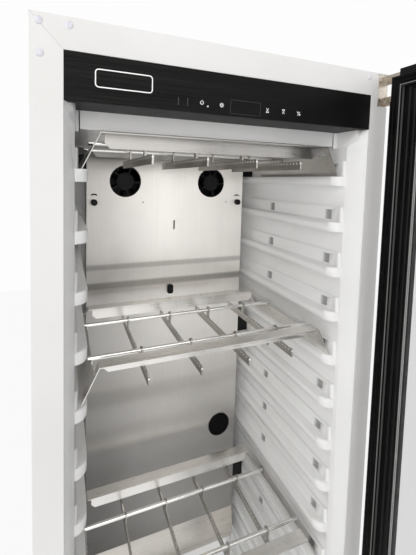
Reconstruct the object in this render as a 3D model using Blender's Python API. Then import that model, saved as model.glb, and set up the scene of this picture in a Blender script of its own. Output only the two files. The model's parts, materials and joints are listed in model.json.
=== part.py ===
"""Dry curing cabinet: a tall insulated cabinet with a glazed door, hung on the right and stored open.

Metres, +Z up, +Y into the cabinet. While the pieces are made, X = 0 is the middle of the cabinet,
Y = 0 is the face of its front frame and Z = 0 is the floor. At the end the whole cabinet is moved
so that the middle of its footprint, open door included, is the origin.
"""

import math

import bmesh
import bpy
from mathutils import Matrix, Vector

# Whole cabinet
CABINET_WIDTH = 0.595
CABINET_HEIGHT = 1.650
BODY_DEPTH = 0.500
PLINTH_HEIGHT = 0.090
PANEL_SHEET = 0.0008
GAP = 0.0003
EMBED = 0.001
CUT_OVERRUN = 0.004

# White front frame, mitred at its corners
FRAME_SIDE = 0.039
FRAME_HEAD = 0.040
FRAME_SILL = 0.040
FRAME_THICKNESS = 0.012

# Control panel in the head of the frame
FASCIA_HEIGHT = 0.0607
FASCIA_THICKNESS = 0.003
FASCIA_RECESS = 0.0005
HOUSING_DEPTH = 0.0553
HOUSING_WALL = 0.002

# Cavity and its white liner
WALL_THICKNESS = 0.0535
BACK_WALL = 0.100
LINER_WALL = 0.003
RETURN_FRONT = 0.0015
MOUTH_DEPTH = 0.032
CEILING_DROP = 0.0263
LINTEL_RISE = 0.006
POCKET_SETBACK = 0.013
POCKET_DROP = 0.0038
POCKET_RAKE = 0.020
POCKET_RAKE_HEIGHT = 0.0132
POCKET_CORNER = 0.008
POCKET_STEPS = 4
STEP_HEIGHT = 0.105
STEP_DEPTH = 0.150
STEP_FOAM = 0.032

# Rails moulded on the side walls, counted from the top
RAIL_PITCH = 0.0877
FIRST_RAIL_DROP = 0.1853
LAST_RAIL_RISE = 0.060
RAIL_THICKNESS = 0.018
RAIL_REACH = 0.019
RAIL_NOSE = 0.021
RAIL_END_CLEARANCE = 0.020
NOSE_STEPS = 4
PAD_REACH = 0.005
PAD_HEIGHT = 0.029
PAD_CHAMFER = 0.005
RECESS_WIDTH = 0.018
RECESS_HEIGHT = 0.019
RECESS_DEPTH = 0.006
RECESS_RISE = 0.004
RECESS_SETBACK = 0.054
RECESS_SPACING = 0.178

# Stainless duct cover in front of the rear wall, its brackets and its curved lower end
DUCT_DEPTH = 0.065
COVER_SIDE_GAP = 0.036
COVER_SHEET = 0.001
COVER_TOP_GAP = 0.0112
COVER_BOTTOM_RISE = 0.263
BRACKET_NAMES = ("upper", "middle", "lower")
BRACKET_RAILS = (0, 5, 10)
BRACKET_HEIGHT = 0.040
BRACKET_BACK_GAP = 0.002
BRACKET_WALL = 0.002
SCOOP_OVERLAP = 0.020
SCOOP_STRAIGHT = 0.070
SCOOP_RADIUS = 0.058
SCOOP_TURN_DEGREES = 72.0
SCOOP_BULGE = 0.009
SCOOP_CORNER = 0.055
SCOOP_STEPS = 9

# Circulation fans behind the duct cover
FAN_INSET = 0.0935
FAN_OFFSET = -0.0023
FAN_DROP = 0.204
FAN_SIZE = 0.080
FAN_CORNER_SHARE = 0.06
FAN_DEPTH = 0.025
FAN_BORE = 0.0375
FAN_WINDOW = 0.0385
FAN_HUB = 0.0215
FAN_SPIDER = 0.004
FAN_STRUTS = 5
FAN_STRUT_SHARE = 0.14
FAN_RIM = 0.0012
FAN_ARC_STEPS = 4
FAN_BLADES = 7
FAN_SHAFT = 0.0015
FAN_TIP_CLEARANCE = 0.0025
FAN_HUB_CLEARANCE = 0.0015
FAN_ROTOR_DEPTH = 0.016
FAN_BLADE_PITCH_DEGREES = 38.0
FAN_BLADE_CHORD = 0.017
FAN_BLADE_THICKNESS = 0.0012

# Small fittings on the duct cover
KNOB_INSET = 0.017
KNOB_DROP = 0.255
KNOB_RADIUS = 0.0078
KNOB_HEIGHT = 0.009
KNOB_RIBS = 12
KNOB_RIB_DEPTH = 0.0008
KNOB_SCREW_RADIUS = 0.002
KNOB_SCREW_LENGTH = 0.012
EYEBROW_RADIUS = 0.011
EYEBROW_BAND = 0.0032
EYEBROW_HALF_DEGREES = 46.0
EYEBROW_STEPS = 6
EYEBROW_RISE = 0.021
PIN_HOLE_RADIUS = 0.0018
PIN_HOLE_SHARES = (-0.35, 0.76)
SLOT_WIDTH = 0.004
SLOT_HEIGHT = 0.024
SLOT_DROP = 0.313
SLOT_OFFSET = 0.010
SLOT_CORNER_SHARE = 0.45
SENSOR_WIDTH = 0.015
SENSOR_HEIGHT = 0.023
SENSOR_DEPTH = 0.008
SENSOR_DROP = 0.480
SENSOR_OFFSET = 0.002
SENSOR_FACE_SHARE = 0.82
SENSOR_SHOULDER_SHARE = 0.70
SENSOR_CORNER_SHARE = 0.20
FILTER_RADIUS = 0.032
FILTER_BODY_RADIUS = 0.028
FILTER_RIM_RADIUS = 0.026
FILTER_WELL_RADIUS = 0.021
FILTER_DEPTH = 0.022
FILTER_FLANGE = 0.004
FILTER_DISH = 0.0015
FILTER_INSET = 0.051
FILTER_RISE = 0.264

# Racks: folded sheet frame, two rods and four hanging blades
RACK_NAMES = ("upper", "middle", "lower")
RACK_RAILS = (0, 4, 9)
RACK_SIDE_GAP = 0.009
RACK_LEAN = 0.027
RACK_HEIGHT = 0.054
RACK_SETBACK = 0.041
RACK_BACK_GAP = 0.050
RACK_SHEET = 0.0015
STRIP_WIDTH = 0.024
LIP_DROP = 0.022
LIP_INSET = 0.008
LIP_CORNER = 0.008
WINDOW_FOOT = 0.009
TOOTH_PITCH = 0.009
TOOTH_DEPTH = 0.0022
TOOTH_TIP_HEIGHT = 0.0392
SEAT_DEPTH = 0.0015
SEAT_CLEARANCE = 0.0006
ROD_RADIUS = 0.004
ROD_END_INSET = 0.013
ROD_DEPTH_SHARES = (0.209, 0.709)
BLADE_COUNT = 4
BLADE_THICKNESS = 0.003
BLADE_HEIGHT = 0.015
BLADE_DROP = 0.017
BLADE_PITCH_SHARE = 0.2079
BLADE_OFFSET = 0.0078
BLADE_NOTCHES = 12
BLADE_NOTCH_SHARE = 0.3
BLADE_NOTCH_DEPTH = 0.0014
EYE_RADIUS = 0.0072
EYE_CLEARANCE = 0.0006
EYE_NECK = 0.009
EYE_STEPS = 8

# Door: black inner frame, stainless trim, two panes, gasket and handle
DOOR_END_GAP = 0.007
GASKET_GAP = 0.0012
GASKET_DEPTH = 0.009
GASKET_WIDTH = 0.017
GASKET_SIDE_INSET = 0.007
GASKET_END_INSET = 0.014
DOOR_FRAME_WIDTH = 0.052
DOOR_FRAME_INSET = 0.0015
DOOR_FRAME_DEPTH = 0.0295
DOOR_TRIM_WIDTH = 0.030
DOOR_TRIM_DEPTH = 0.012
DOOR_FLANGE_DEPTH = 0.0105
PANE_LEDGE = 0.004
PANE = 0.004
INNER_PANE_SETBACK = 0.006
DOOR_OPEN_DEGREES = 91.4
HANDLE_LENGTH = 0.500
HANDLE_RADIUS = 0.007
HANDLE_STANDOFF = 0.036
HANDLE_INSET = 0.022
HANDLE_POST_RADIUS = 0.005
HANDLE_POST_INSET = 0.040
HANDLE_RISE = 0.100

# Hinges: a plate let into the frame, two arms, a pin and the door's knuckle between them
PIVOT_FROM_SIDE = 0.008
PIVOT_FORWARD = 0.0385
PLATE_WIDTH = 0.023
PLATE_HEIGHT = 0.056
PLATE_THICKNESS = 0.003
PLATE_CORNER = 0.004
PLATE_INSET = 0.002
ARM_THICKNESS = 0.0055
ARM_HEIGHT = 0.016
HINGE_BOSS = 0.0058
PIN_RADIUS = 0.0035
PIN_CLEARANCE = 0.0005
PIN_END = 0.001
KNUCKLE_CLEARANCE = 0.0008
POCKET_CLEARANCE = 0.0015
POCKET_FORWARD = 0.0112
BOSS_STEPS = 6

# Outer casing and machine bay
KICK_SETBACK = 0.030
KICK_SLOTS = 12
KICK_SLOT_HEIGHT_SHARE = 0.6
KICK_SLOT_WIDTH_SHARE = 0.45
BASE_SHEET = 0.0015
GRILLE_SLOTS = 9
GRILLE_SLOT_HEIGHT_SHARE = 0.5
GRILLE_SLOT_WIDTH_SHARE = 0.5
COMPRESSOR_RADIUS = 0.066
COMPRESSOR_HEIGHT = 0.128
COMPRESSOR_SIDE_INSET = 0.1275
COMPRESSOR_BACK_INSET = 0.112
COMPRESSOR_RADIUS_SHARES = (0.75, 1.0, 1.0, 1.04, 1.04, 1.0, 0.97, 0.80, 0.45)
COMPRESSOR_HEIGHT_SHARES = (0.0, 0.10, 0.45, 0.47, 0.50, 0.52, 0.72, 0.90, 1.0)
COMPRESSOR_PLATE = 0.003
COMPRESSOR_PLATE_OVERHANG = 0.006
RUBBER_FOOT_RADIUS = 0.010
RUBBER_FOOT_HEIGHT = 0.010
FIN_CORE_SHARE = 0.35
EVAPORATOR_INSET = 0.058
EVAPORATOR_HEIGHT = 0.220
EVAPORATOR_DEPTH = 0.036
EVAPORATOR_FINS = 12
EVAPORATOR_DROP = 0.300
SOCKET_WIDTH = 0.030
SOCKET_HEIGHT = 0.022
SOCKET_DEPTH = 0.020
SOCKET_RECESS = 0.012
SOCKET_WALL = 0.003
SOCKET_OFFSET = 0.030
SOCKET_RISE = 0.050

ROUND = 20
SMALL_ROUND = 12
SMOOTH_LIMIT_DEGREES = 35.0

# Heights and depths that several pieces share
HALF_WIDTH = CABINET_WIDTH / 2
PANEL_BOTTOM = CABINET_HEIGHT - FRAME_HEAD - FASCIA_HEIGHT
CEILING = PANEL_BOTTOM - CEILING_DROP
FLOOR = PLINTH_HEIGHT + FRAME_SILL
STEP_TOP = FLOOR + STEP_HEIGHT
CAVITY_DEPTH = BODY_DEPTH - BACK_WALL
STEP_FRONT = CAVITY_DEPTH - STEP_DEPTH
MOUTH_HALF = HALF_WIDTH - FRAME_SIDE
CAVITY_HALF = HALF_WIDTH - WALL_THICKNESS
RAIL_COUNT = int((CABINET_HEIGHT - FIRST_RAIL_DROP - LAST_RAIL_RISE - STEP_TOP) / RAIL_PITCH) + 1
COVER_WIDTH = 2 * (CAVITY_HALF - COVER_SIDE_GAP)
RACK_WIDTH = 2 * (CAVITY_HALF - RACK_SIDE_GAP)
RACK_TOP_WIDTH = RACK_WIDTH - 2 * RACK_LEAN
ROD_LENGTH = RACK_WIDTH - 2 * ROD_END_INSET
BLADE_PITCH = ROD_LENGTH * BLADE_PITCH_SHARE
FRAME_BACK = FRAME_THICKNESS + GAP
FASCIA_BACK = FASCIA_RECESS + FASCIA_THICKNESS
HOUSING_BACK = FASCIA_BACK + GAP + HOUSING_DEPTH
LINTEL = HOUSING_BACK + GAP
COVER_FACE = CAVITY_DEPTH - DUCT_DEPTH
COVER_BACK = COVER_FACE + COVER_SHEET
COVER_BOTTOM = STEP_TOP + COVER_BOTTOM_RISE
FILTER_HEIGHT = COVER_BOTTOM + FILTER_RISE
RACK_DEPTH = COVER_FACE - RACK_SETBACK - RACK_BACK_GAP
CASING_INSIDE = HALF_WIDTH - PANEL_SHEET - GAP
BACK_INSIDE = BODY_DEPTH - PANEL_SHEET - GAP
DOOR_TOP = CABINET_HEIGHT - DOOR_END_GAP
DOOR_BOTTOM = PLINTH_HEIGHT + DOOR_END_GAP
DOOR_INNER_FACE = -GASKET_GAP - GASKET_DEPTH - GAP
DOOR_FRAME_FACE = DOOR_INNER_FACE - DOOR_FRAME_DEPTH
DOOR_TRIM_BACK = DOOR_FRAME_FACE - GAP
DOOR_OUTER_FACE = DOOR_TRIM_BACK - DOOR_TRIM_DEPTH
PIVOT_X = HALF_WIDTH - PIVOT_FROM_SIDE
SKIN = LINER_WALL + GAP
BAY_CEILING = STEP_TOP - SKIN - STEP_FOAM
BAY_FRONT = STEP_FRONT + SKIN + STEP_FOAM
ROD_HEIGHT = TOOTH_TIP_HEIGHT - SEAT_DEPTH + GAP + ROD_RADIUS
ROD_PLACES = tuple(RACK_DEPTH * share for share in ROD_DEPTH_SHARES)
SOCKET_CENTRE = (SOCKET_OFFSET, BASE_SHEET + SOCKET_RISE)


def rail_top(index):
    """Height of the upper face of a rail, counted from the top."""
    return CABINET_HEIGHT - FIRST_RAIL_DROP - RAIL_PITCH * index


def clear_scene():
    for thing in list(bpy.data.objects):
        bpy.data.objects.remove(thing, do_unlink=True)


def make_material(name, colour, roughness, metallic=0.0, alpha=1.0):
    surface = bpy.data.materials.new(name)
    surface.use_nodes = True
    shader = surface.node_tree.nodes["Principled BSDF"]
    shader.inputs["Base Color"].default_value = (*colour, 1.0)
    shader.inputs["Roughness"].default_value = roughness
    shader.inputs["Metallic"].default_value = metallic
    shader.inputs["Alpha"].default_value = alpha
    return surface


def finish(name, shape, surface, parent=None, place=(0, 0, 0)):
    """Turn a shape into a named object with its faces pointing out."""
    bmesh.ops.recalc_face_normals(shape, faces=shape.faces)
    mesh = bpy.data.meshes.new(name)
    shape.to_mesh(mesh)
    shape.free()
    mesh.shade_smooth()
    mesh.set_sharp_from_angle(angle=math.radians(SMOOTH_LIMIT_DEGREES))
    return place_mesh(name, mesh, surface, parent, place)


def place_mesh(name, mesh, surface, parent=None, place=(0, 0, 0)):
    thing = bpy.data.objects.new(name, mesh)
    if not mesh.materials:
        mesh.materials.append(surface)
    bpy.context.scene.collection.objects.link(thing)
    thing.parent = parent
    thing.location = place
    return thing


def make_empty(name, place, parent=None, turn=0.0):
    thing = bpy.data.objects.new(name, None)
    bpy.context.scene.collection.objects.link(thing)
    thing.parent = parent
    thing.location = place
    thing.rotation_euler = (0, 0, turn)
    return thing


def add_loft(shape, rings):
    """Closed body through rings of equally many points."""
    rows = [[shape.verts.new(point) for point in ring] for ring in rings]
    count = len(rows[0])
    for low, high in zip(rows, rows[1:]):
        for i in range(count):
            j = (i + 1) % count
            shape.faces.new((low[i], low[j], high[j], high[i]))
    shape.faces.new(rows[0])
    shape.faces.new(rows[-1])


def across(axis, first, second, along):
    """Point from two coordinates across an axis and one along it."""
    if axis == "X":
        return Vector((along, first, second))
    if axis == "Y":
        return Vector((first, along, second))
    return Vector((first, second, along))


def add_prism(shape, outline, axis, start, end):
    add_loft(shape, [[across(axis, u, v, along) for u, v in outline] for along in (start, end)])


def add_box(shape, low, high):
    outline = ((low[0], low[1]), (high[0], low[1]), (high[0], high[1]), (low[0], high[1]))
    add_prism(shape, outline, "Z", low[2], high[2])


def circle(radius, segments=ROUND, centre=(0, 0), turn=0.5):
    step = math.tau / segments
    return [
        (centre[0] + radius * math.cos(step * (i + turn)), centre[1] + radius * math.sin(step * (i + turn)))
        for i in range(segments)
    ]


def rectangle(width, height, centre=(0, 0)):
    u, v = width / 2, height / 2
    return [(centre[0] + a * u, centre[1] + b * v) for a, b in ((-1, -1), (1, -1), (1, 1), (-1, 1))]


def rounded_rectangle(width, height, corner, centre=(0, 0), steps=3):
    points = []
    for quarter, (a, b) in enumerate(((1, 1), (-1, 1), (-1, -1), (1, -1))):
        for i in range(steps + 1):
            angle = (quarter + i / steps) * math.pi / 2
            points.append((
                centre[0] + a * (width / 2 - corner) + corner * math.cos(angle),
                centre[1] + b * (height / 2 - corner) + corner * math.sin(angle),
            ))
    return points


def add_cylinder(shape, radius, axis, start, end, centre=(0, 0), segments=ROUND):
    add_prism(shape, circle(radius, segments, centre), axis, start, end)


def add_turned(shape, profile, axis, centre=(0, 0), segments=ROUND):
    """Turned body: the profile is a list of radius and place along the axis, both ends closed flat."""
    add_loft(shape, [
        [across(axis, u, v, along) for u, v in circle(radius, segments, centre)]
        for radius, along in profile
    ])


def add_pierced_plate(shape, outline, holes, axis, start, end):
    """Flat plate with holes right through it."""
    edges = []
    for loop in [outline, *holes]:
        points = [shape.verts.new(across(axis, u, v, start)) for u, v in loop]
        edges += [shape.edges.new((points[i - 1], points[i])) for i in range(len(points))]
    fill = bmesh.ops.triangle_fill(shape, use_beauty=True, edges=edges)
    faces = [item for item in fill["geom"] if isinstance(item, bmesh.types.BMFace)]
    grown = bmesh.ops.extrude_face_region(shape, geom=faces, use_keep_orig=True)
    moved = [item for item in grown["geom"] if isinstance(item, bmesh.types.BMVert)]
    bmesh.ops.translate(shape, verts=moved, vec=across(axis, 0, 0, end - start))


def add_ring(shape, outer, inner, axis, start, end):
    """Rectangular or round ring whose outlines have equally many points."""
    count = len(outer)
    loops = [
        [shape.verts.new(across(axis, u, v, along)) for u, v in outline]
        for outline, along in ((outer, start), (outer, end), (inner, end), (inner, start))
    ]
    for near, far in zip(loops, loops[1:] + loops[:1]):
        for i in range(count):
            j = (i + 1) % count
            shape.faces.new((near[i], near[j], far[j], far[i]))


def combine(thing, other, operation):
    """Unite a shape with an object, or cut it out of the object."""
    bmesh.ops.recalc_face_normals(other, faces=other.faces)
    mesh = bpy.data.meshes.new(thing.name + "_tool")
    other.to_mesh(mesh)
    other.free()
    tool = bpy.data.objects.new(mesh.name, mesh)
    bpy.context.scene.collection.objects.link(tool)
    tool.parent = thing
    tool.hide_render = True
    tool.display_type = "WIRE"
    change = thing.modifiers.new(operation.title(), "BOOLEAN")
    change.operation = operation
    change.solver = "EXACT"
    change.object = tool


def plate_centres():
    """Middles of the upper and lower hinge plates, across and up."""
    x = HALF_WIDTH - GAP - PLATE_WIDTH / 2
    return {
        "upper": (x, CABINET_HEIGHT - PLATE_INSET - PLATE_HEIGHT / 2),
        "lower": (x, PLINTH_HEIGHT + PLATE_INSET + PLATE_HEIGHT / 2),
    }


def make_front_frame(surface, root):
    """Flat frame round the mouth of the cavity, let in for the hinge plates."""
    low, high = PLINTH_HEIGHT, CABINET_HEIGHT
    outer = rectangle(CABINET_WIDTH, high - low, (0, (low + high) / 2))
    inner_low, inner_high = low + FRAME_SILL, high - FRAME_HEAD
    inner = rectangle(2 * MOUTH_HALF, inner_high - inner_low, (0, (inner_low + inner_high) / 2))
    shape = bmesh.new()
    add_ring(shape, outer, inner, "Y", 0, FRAME_THICKNESS)
    frame = finish("front_frame", shape, surface, root)
    tool = bmesh.new()
    for centre in plate_centres().values():
        recess = rectangle(PLATE_WIDTH + 2 * GAP, PLATE_HEIGHT + 2 * GAP, centre)
        add_prism(tool, recess, "Y", -CUT_OVERRUN, PLATE_THICKNESS + GAP)
    combine(frame, tool, "DIFFERENCE")


def make_casing(surfaces, root):
    """Sides and top in one folded sheet, base pan with its plinth, and back cover."""
    top = CABINET_HEIGHT
    inner_top = top - PANEL_SHEET
    inner = HALF_WIDTH - PANEL_SHEET
    low = BASE_SHEET
    shape = bmesh.new()
    add_prism(shape, [
        (-HALF_WIDTH, low), (-HALF_WIDTH, top), (HALF_WIDTH, top), (HALF_WIDTH, low), (inner, low),
        (inner, inner_top), (-inner, inner_top), (-inner, low),
    ], "Y", FRAME_BACK, BODY_DEPTH)
    finish("outer_shell", shape, surfaces["casing"], root)

    front, high = KICK_SETBACK, PLINTH_HEIGHT - GAP
    shape = bmesh.new()
    add_prism(shape, [
        (front, 0), (BACK_INSIDE, 0), (BACK_INSIDE, low),
        (front + low, low), (front + low, high), (front, high),
    ], "X", -CASING_INSIDE, CASING_INSIDE)
    pan = finish("base_pan", shape, surfaces["black_steel"], root)
    width = 2 * CASING_INSIDE
    pitch = width / (KICK_SLOTS + 1)
    wide, tall = pitch * KICK_SLOT_WIDTH_SHARE, high * KICK_SLOT_HEIGHT_SHARE
    tool = bmesh.new()
    for i in range(KICK_SLOTS):
        centre = (pitch * (i - (KICK_SLOTS - 1) / 2), high / 2)
        add_prism(tool, rounded_rectangle(wide, tall, wide / 4, centre, 1), "Y", front - CUT_OVERRUN,
                  front + low + CUT_OVERRUN)
    combine(pan, tool, "DIFFERENCE")

    bottom, top = low, CABINET_HEIGHT - PANEL_SHEET - GAP
    pitch = width / (GRILLE_SLOTS + 1)
    tall = (BAY_CEILING - BASE_SHEET) * GRILLE_SLOT_HEIGHT_SHARE
    middle = (BAY_CEILING + BASE_SHEET) / 2
    wide = pitch * GRILLE_SLOT_WIDTH_SHARE
    places = [pitch * (i - (GRILLE_SLOTS - 1) / 2) for i in range(GRILLE_SLOTS)]
    holes = [
        rectangle(wide, tall, (x, middle)) for x in places
        if abs(x - SOCKET_OFFSET) > (wide + SOCKET_WIDTH) / 2 + SOCKET_WALL
    ]
    holes.append(rectangle(SOCKET_WIDTH + 2 * GAP, SOCKET_HEIGHT + 2 * GAP, SOCKET_CENTRE))
    shape = bmesh.new()
    add_pierced_plate(shape, rectangle(width, top - bottom, (0, (bottom + top) / 2)), holes, "Y",
                      BODY_DEPTH - PANEL_SHEET, BODY_DEPTH)
    finish("back_cover", shape, surfaces["zinc"], root)


def make_insulation(surface, root):
    """Foam between the casing and the liner, stepped up over the machine bay."""
    ceiling = CABINET_HEIGHT - PANEL_SHEET - GAP
    bottom = PLINTH_HEIGHT + GAP
    shape = bmesh.new()
    add_prism(shape, [
        (FRAME_BACK, bottom), (BAY_FRONT, bottom), (BAY_FRONT, BAY_CEILING), (BACK_INSIDE, BAY_CEILING),
        (BACK_INSIDE, ceiling), (FRAME_BACK, ceiling),
    ], "X", -CASING_INSIDE, CASING_INSIDE)
    thing = finish("insulation", shape, surface, root)
    half = CAVITY_HALF + SKIN
    front = FRAME_BACK - CUT_OVERRUN
    lintel_top = PANEL_BOTTOM + LINTEL_RISE
    tool = bmesh.new()
    add_prism(tool, [
        (front, FLOOR - SKIN), (STEP_FRONT + SKIN, FLOOR - SKIN),
        (STEP_FRONT + SKIN, STEP_TOP - SKIN), (CAVITY_DEPTH + SKIN, STEP_TOP - SKIN),
        (CAVITY_DEPTH + SKIN, CEILING + SKIN), (LINTEL + SKIN, CEILING + SKIN),
        (LINTEL + SKIN, lintel_top + GAP), (front, lintel_top + GAP),
    ], "X", -half, half)
    combine(thing, tool, "DIFFERENCE")
    flare = bmesh.new()
    add_prism(flare, [
        (-MOUTH_HALF, 0), (MOUTH_HALF, 0), (MOUTH_HALF, RETURN_FRONT + SKIN), (half, MOUTH_DEPTH + SKIN),
        (-half, MOUTH_DEPTH + SKIN), (-MOUTH_HALF, RETURN_FRONT + SKIN),
    ], "Z", FLOOR - SKIN, CEILING + SKIN)
    combine(thing, flare, "DIFFERENCE")
    housing = bmesh.new()
    add_box(housing, (-MOUTH_HALF, front, CEILING - POCKET_DROP - GAP),
            (MOUTH_HALF, LINTEL, CABINET_HEIGHT - FRAME_HEAD))
    combine(thing, housing, "DIFFERENCE")


def rail_stations():
    """Places along a rail, each with the reach of its ledge and of the pad above it."""
    stations = [(MOUTH_DEPTH, GAP, -GAP)]
    for step in range(1, NOSE_STEPS + 1):
        turn = math.pi / 2 * step / NOSE_STEPS
        along = RAIL_NOSE * (1 - math.cos(turn))
        pad = min(PAD_REACH, PAD_REACH * along / PAD_CHAMFER)
        stations.append((MOUTH_DEPTH + along, RAIL_REACH * math.sin(turn), pad))
    stations.append((CAVITY_DEPTH - RAIL_END_CLEARANCE, RAIL_REACH, PAD_REACH))
    return stations


def add_rails(shape, side, base):
    """Ledges with a shallow pad above each; the nose of a ledge is rounded in plan."""
    for index in range(RAIL_COUNT):
        top = rail_top(index)
        bottom, pad_top = top - RAIL_THICKNESS, top + PAD_HEIGHT
        add_loft(shape, [
            [
                (side * x, y, z)
                for x, z in (
                    (base, bottom), (CAVITY_HALF - ledge, bottom), (CAVITY_HALF - ledge, top),
                    (CAVITY_HALF - pad, top), (CAVITY_HALF - pad, pad_top), (base, pad_top),
                )
            ]
            for y, ledge, pad in rail_stations()
        ])


def make_liner(surface, root):
    """White liner: two railed side walls, ceiling, rear wall and stepped floor."""
    bottom, top = FLOOR - LINER_WALL, CEILING + LINER_WALL
    high = PANEL_BOTTOM - GAP
    base = CAVITY_HALF + LINER_WALL / 2
    for name, side in (("liner_wall_left", -1), ("liner_wall_right", 1)):
        outline = [
            (MOUTH_HALF - GAP, RETURN_FRONT), (CAVITY_HALF, MOUTH_DEPTH), (CAVITY_HALF, CAVITY_DEPTH),
            (CAVITY_HALF + LINER_WALL, CAVITY_DEPTH), (CAVITY_HALF + LINER_WALL, MOUTH_DEPTH + LINER_WALL),
            (MOUTH_HALF - GAP, RETURN_FRONT + LINER_WALL),
        ]
        shape = bmesh.new()
        add_prism(shape, [(side * x, y) for x, y in outline], "Z", bottom, high)
        thing = finish(name, shape, surface, root)
        tool = bmesh.new()
        add_rails(tool, side, base)
        low = CEILING - POCKET_DROP
        reach = (MOUTH_DEPTH - POCKET_SETBACK) / (MOUTH_DEPTH - RETURN_FRONT)
        outer = CAVITY_HALF + (MOUTH_HALF - CAVITY_HALF) * reach
        near, far = sorted((side * (CAVITY_HALF - GAP), side * outer))
        add_prism(tool, [
            (POCKET_SETBACK, high), (LINTEL - GAP, high), (LINTEL - GAP, low),
            (POCKET_SETBACK + POCKET_RAKE, low), (POCKET_SETBACK, low + POCKET_RAKE_HEIGHT),
        ], "X", near, far)
        combine(thing, tool, "UNION")
        tool = bmesh.new()
        corner = [(side * x, y) for x, y in pocket_corner(base)]
        add_prism(tool, corner, "Z", low, high)
        combine(thing, tool, "UNION")
        tool = bmesh.new()
        face = CAVITY_HALF - PAD_REACH
        for index in range(RAIL_COUNT):
            low = rail_top(index) + RECESS_RISE
            for y in (RECESS_SETBACK, RECESS_SETBACK + RECESS_SPACING):
                near, far = sorted((side * (face - CUT_OVERRUN), side * (face + RECESS_DEPTH)))
                add_box(tool, (near, y, low), (far, y + RECESS_WIDTH, low + RECESS_HEIGHT))
        near, far = sorted((side * (CAVITY_HALF - CUT_OVERRUN), side * (MOUTH_HALF + CUT_OVERRUN)))
        add_box(tool, (near, -CUT_OVERRUN, bottom - CUT_OVERRUN), (far, FRAME_BACK, FLOOR + GAP))
        add_box(tool, (near, STEP_FRONT + LINER_WALL, bottom - CUT_OVERRUN),
                (far, CAVITY_DEPTH + CUT_OVERRUN, STEP_TOP - LINER_WALL))
        add_box(tool, (near, LINTEL + LINER_WALL, top), (far, CAVITY_DEPTH + CUT_OVERRUN, high + CUT_OVERRUN))
        combine(thing, tool, "DIFFERENCE")

    half = CAVITY_HALF - GAP
    shape = bmesh.new()
    lintel_top = PANEL_BOTTOM + LINTEL_RISE
    add_prism(shape, [
        (LINTEL, CEILING), (CAVITY_DEPTH, CEILING), (CAVITY_DEPTH, top), (LINTEL + LINER_WALL, top),
        (LINTEL + LINER_WALL, lintel_top), (LINTEL, lintel_top),
    ], "X", -half, half)
    finish("liner_ceiling", shape, surface, root)
    shape = bmesh.new()
    add_box(shape, (-CAVITY_HALF - LINER_WALL, CAVITY_DEPTH + GAP, STEP_TOP + GAP),
            (CAVITY_HALF + LINER_WALL, CAVITY_DEPTH + LINER_WALL, top))
    finish("liner_back", shape, surface, root)
    shape = bmesh.new()
    add_prism(shape, [
        (FRAME_BACK, FLOOR), (STEP_FRONT, FLOOR), (STEP_FRONT, STEP_TOP),
        (CAVITY_DEPTH + LINER_WALL, STEP_TOP),
        (CAVITY_DEPTH + LINER_WALL, STEP_TOP - LINER_WALL), (STEP_FRONT + LINER_WALL, STEP_TOP - LINER_WALL),
        (STEP_FRONT + LINER_WALL, FLOOR - LINER_WALL), (FRAME_BACK, FLOOR - LINER_WALL),
    ], "X", -half, half)
    floor = finish("liner_floor", shape, surface, root)
    slope = (MOUTH_HALF - CAVITY_HALF) / (MOUTH_DEPTH - RETURN_FRONT)
    wide = half + slope * (MOUTH_DEPTH - FRAME_BACK) - 2 * GAP
    flare = bmesh.new()
    add_prism(flare, [
        (-wide, FRAME_BACK), (wide, FRAME_BACK), (half - GAP, MOUTH_DEPTH), (-half + GAP, MOUTH_DEPTH),
    ], "Z", FLOOR - LINER_WALL, FLOOR)
    combine(floor, flare, "UNION")


def pocket_corner(base):
    """Rounded corner, in plan, between a side wall and the lintel behind the control housing."""
    back = LINTEL - GAP
    low = back - POCKET_CORNER
    turns = [math.pi / 2 * i / POCKET_STEPS for i in range(POCKET_STEPS + 1)]
    arc = [
        (CAVITY_HALF - POCKET_CORNER * (1 - math.cos(a)), low + POCKET_CORNER * math.sin(a)) for a in turns
    ]
    return [(base, low), *arc, (base, back)]


def fan_centres():
    reach = COVER_WIDTH / 2 - FAN_INSET
    return [(FAN_OFFSET + side * reach, CABINET_HEIGHT - FAN_DROP) for side in (-1, 1)]


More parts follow.
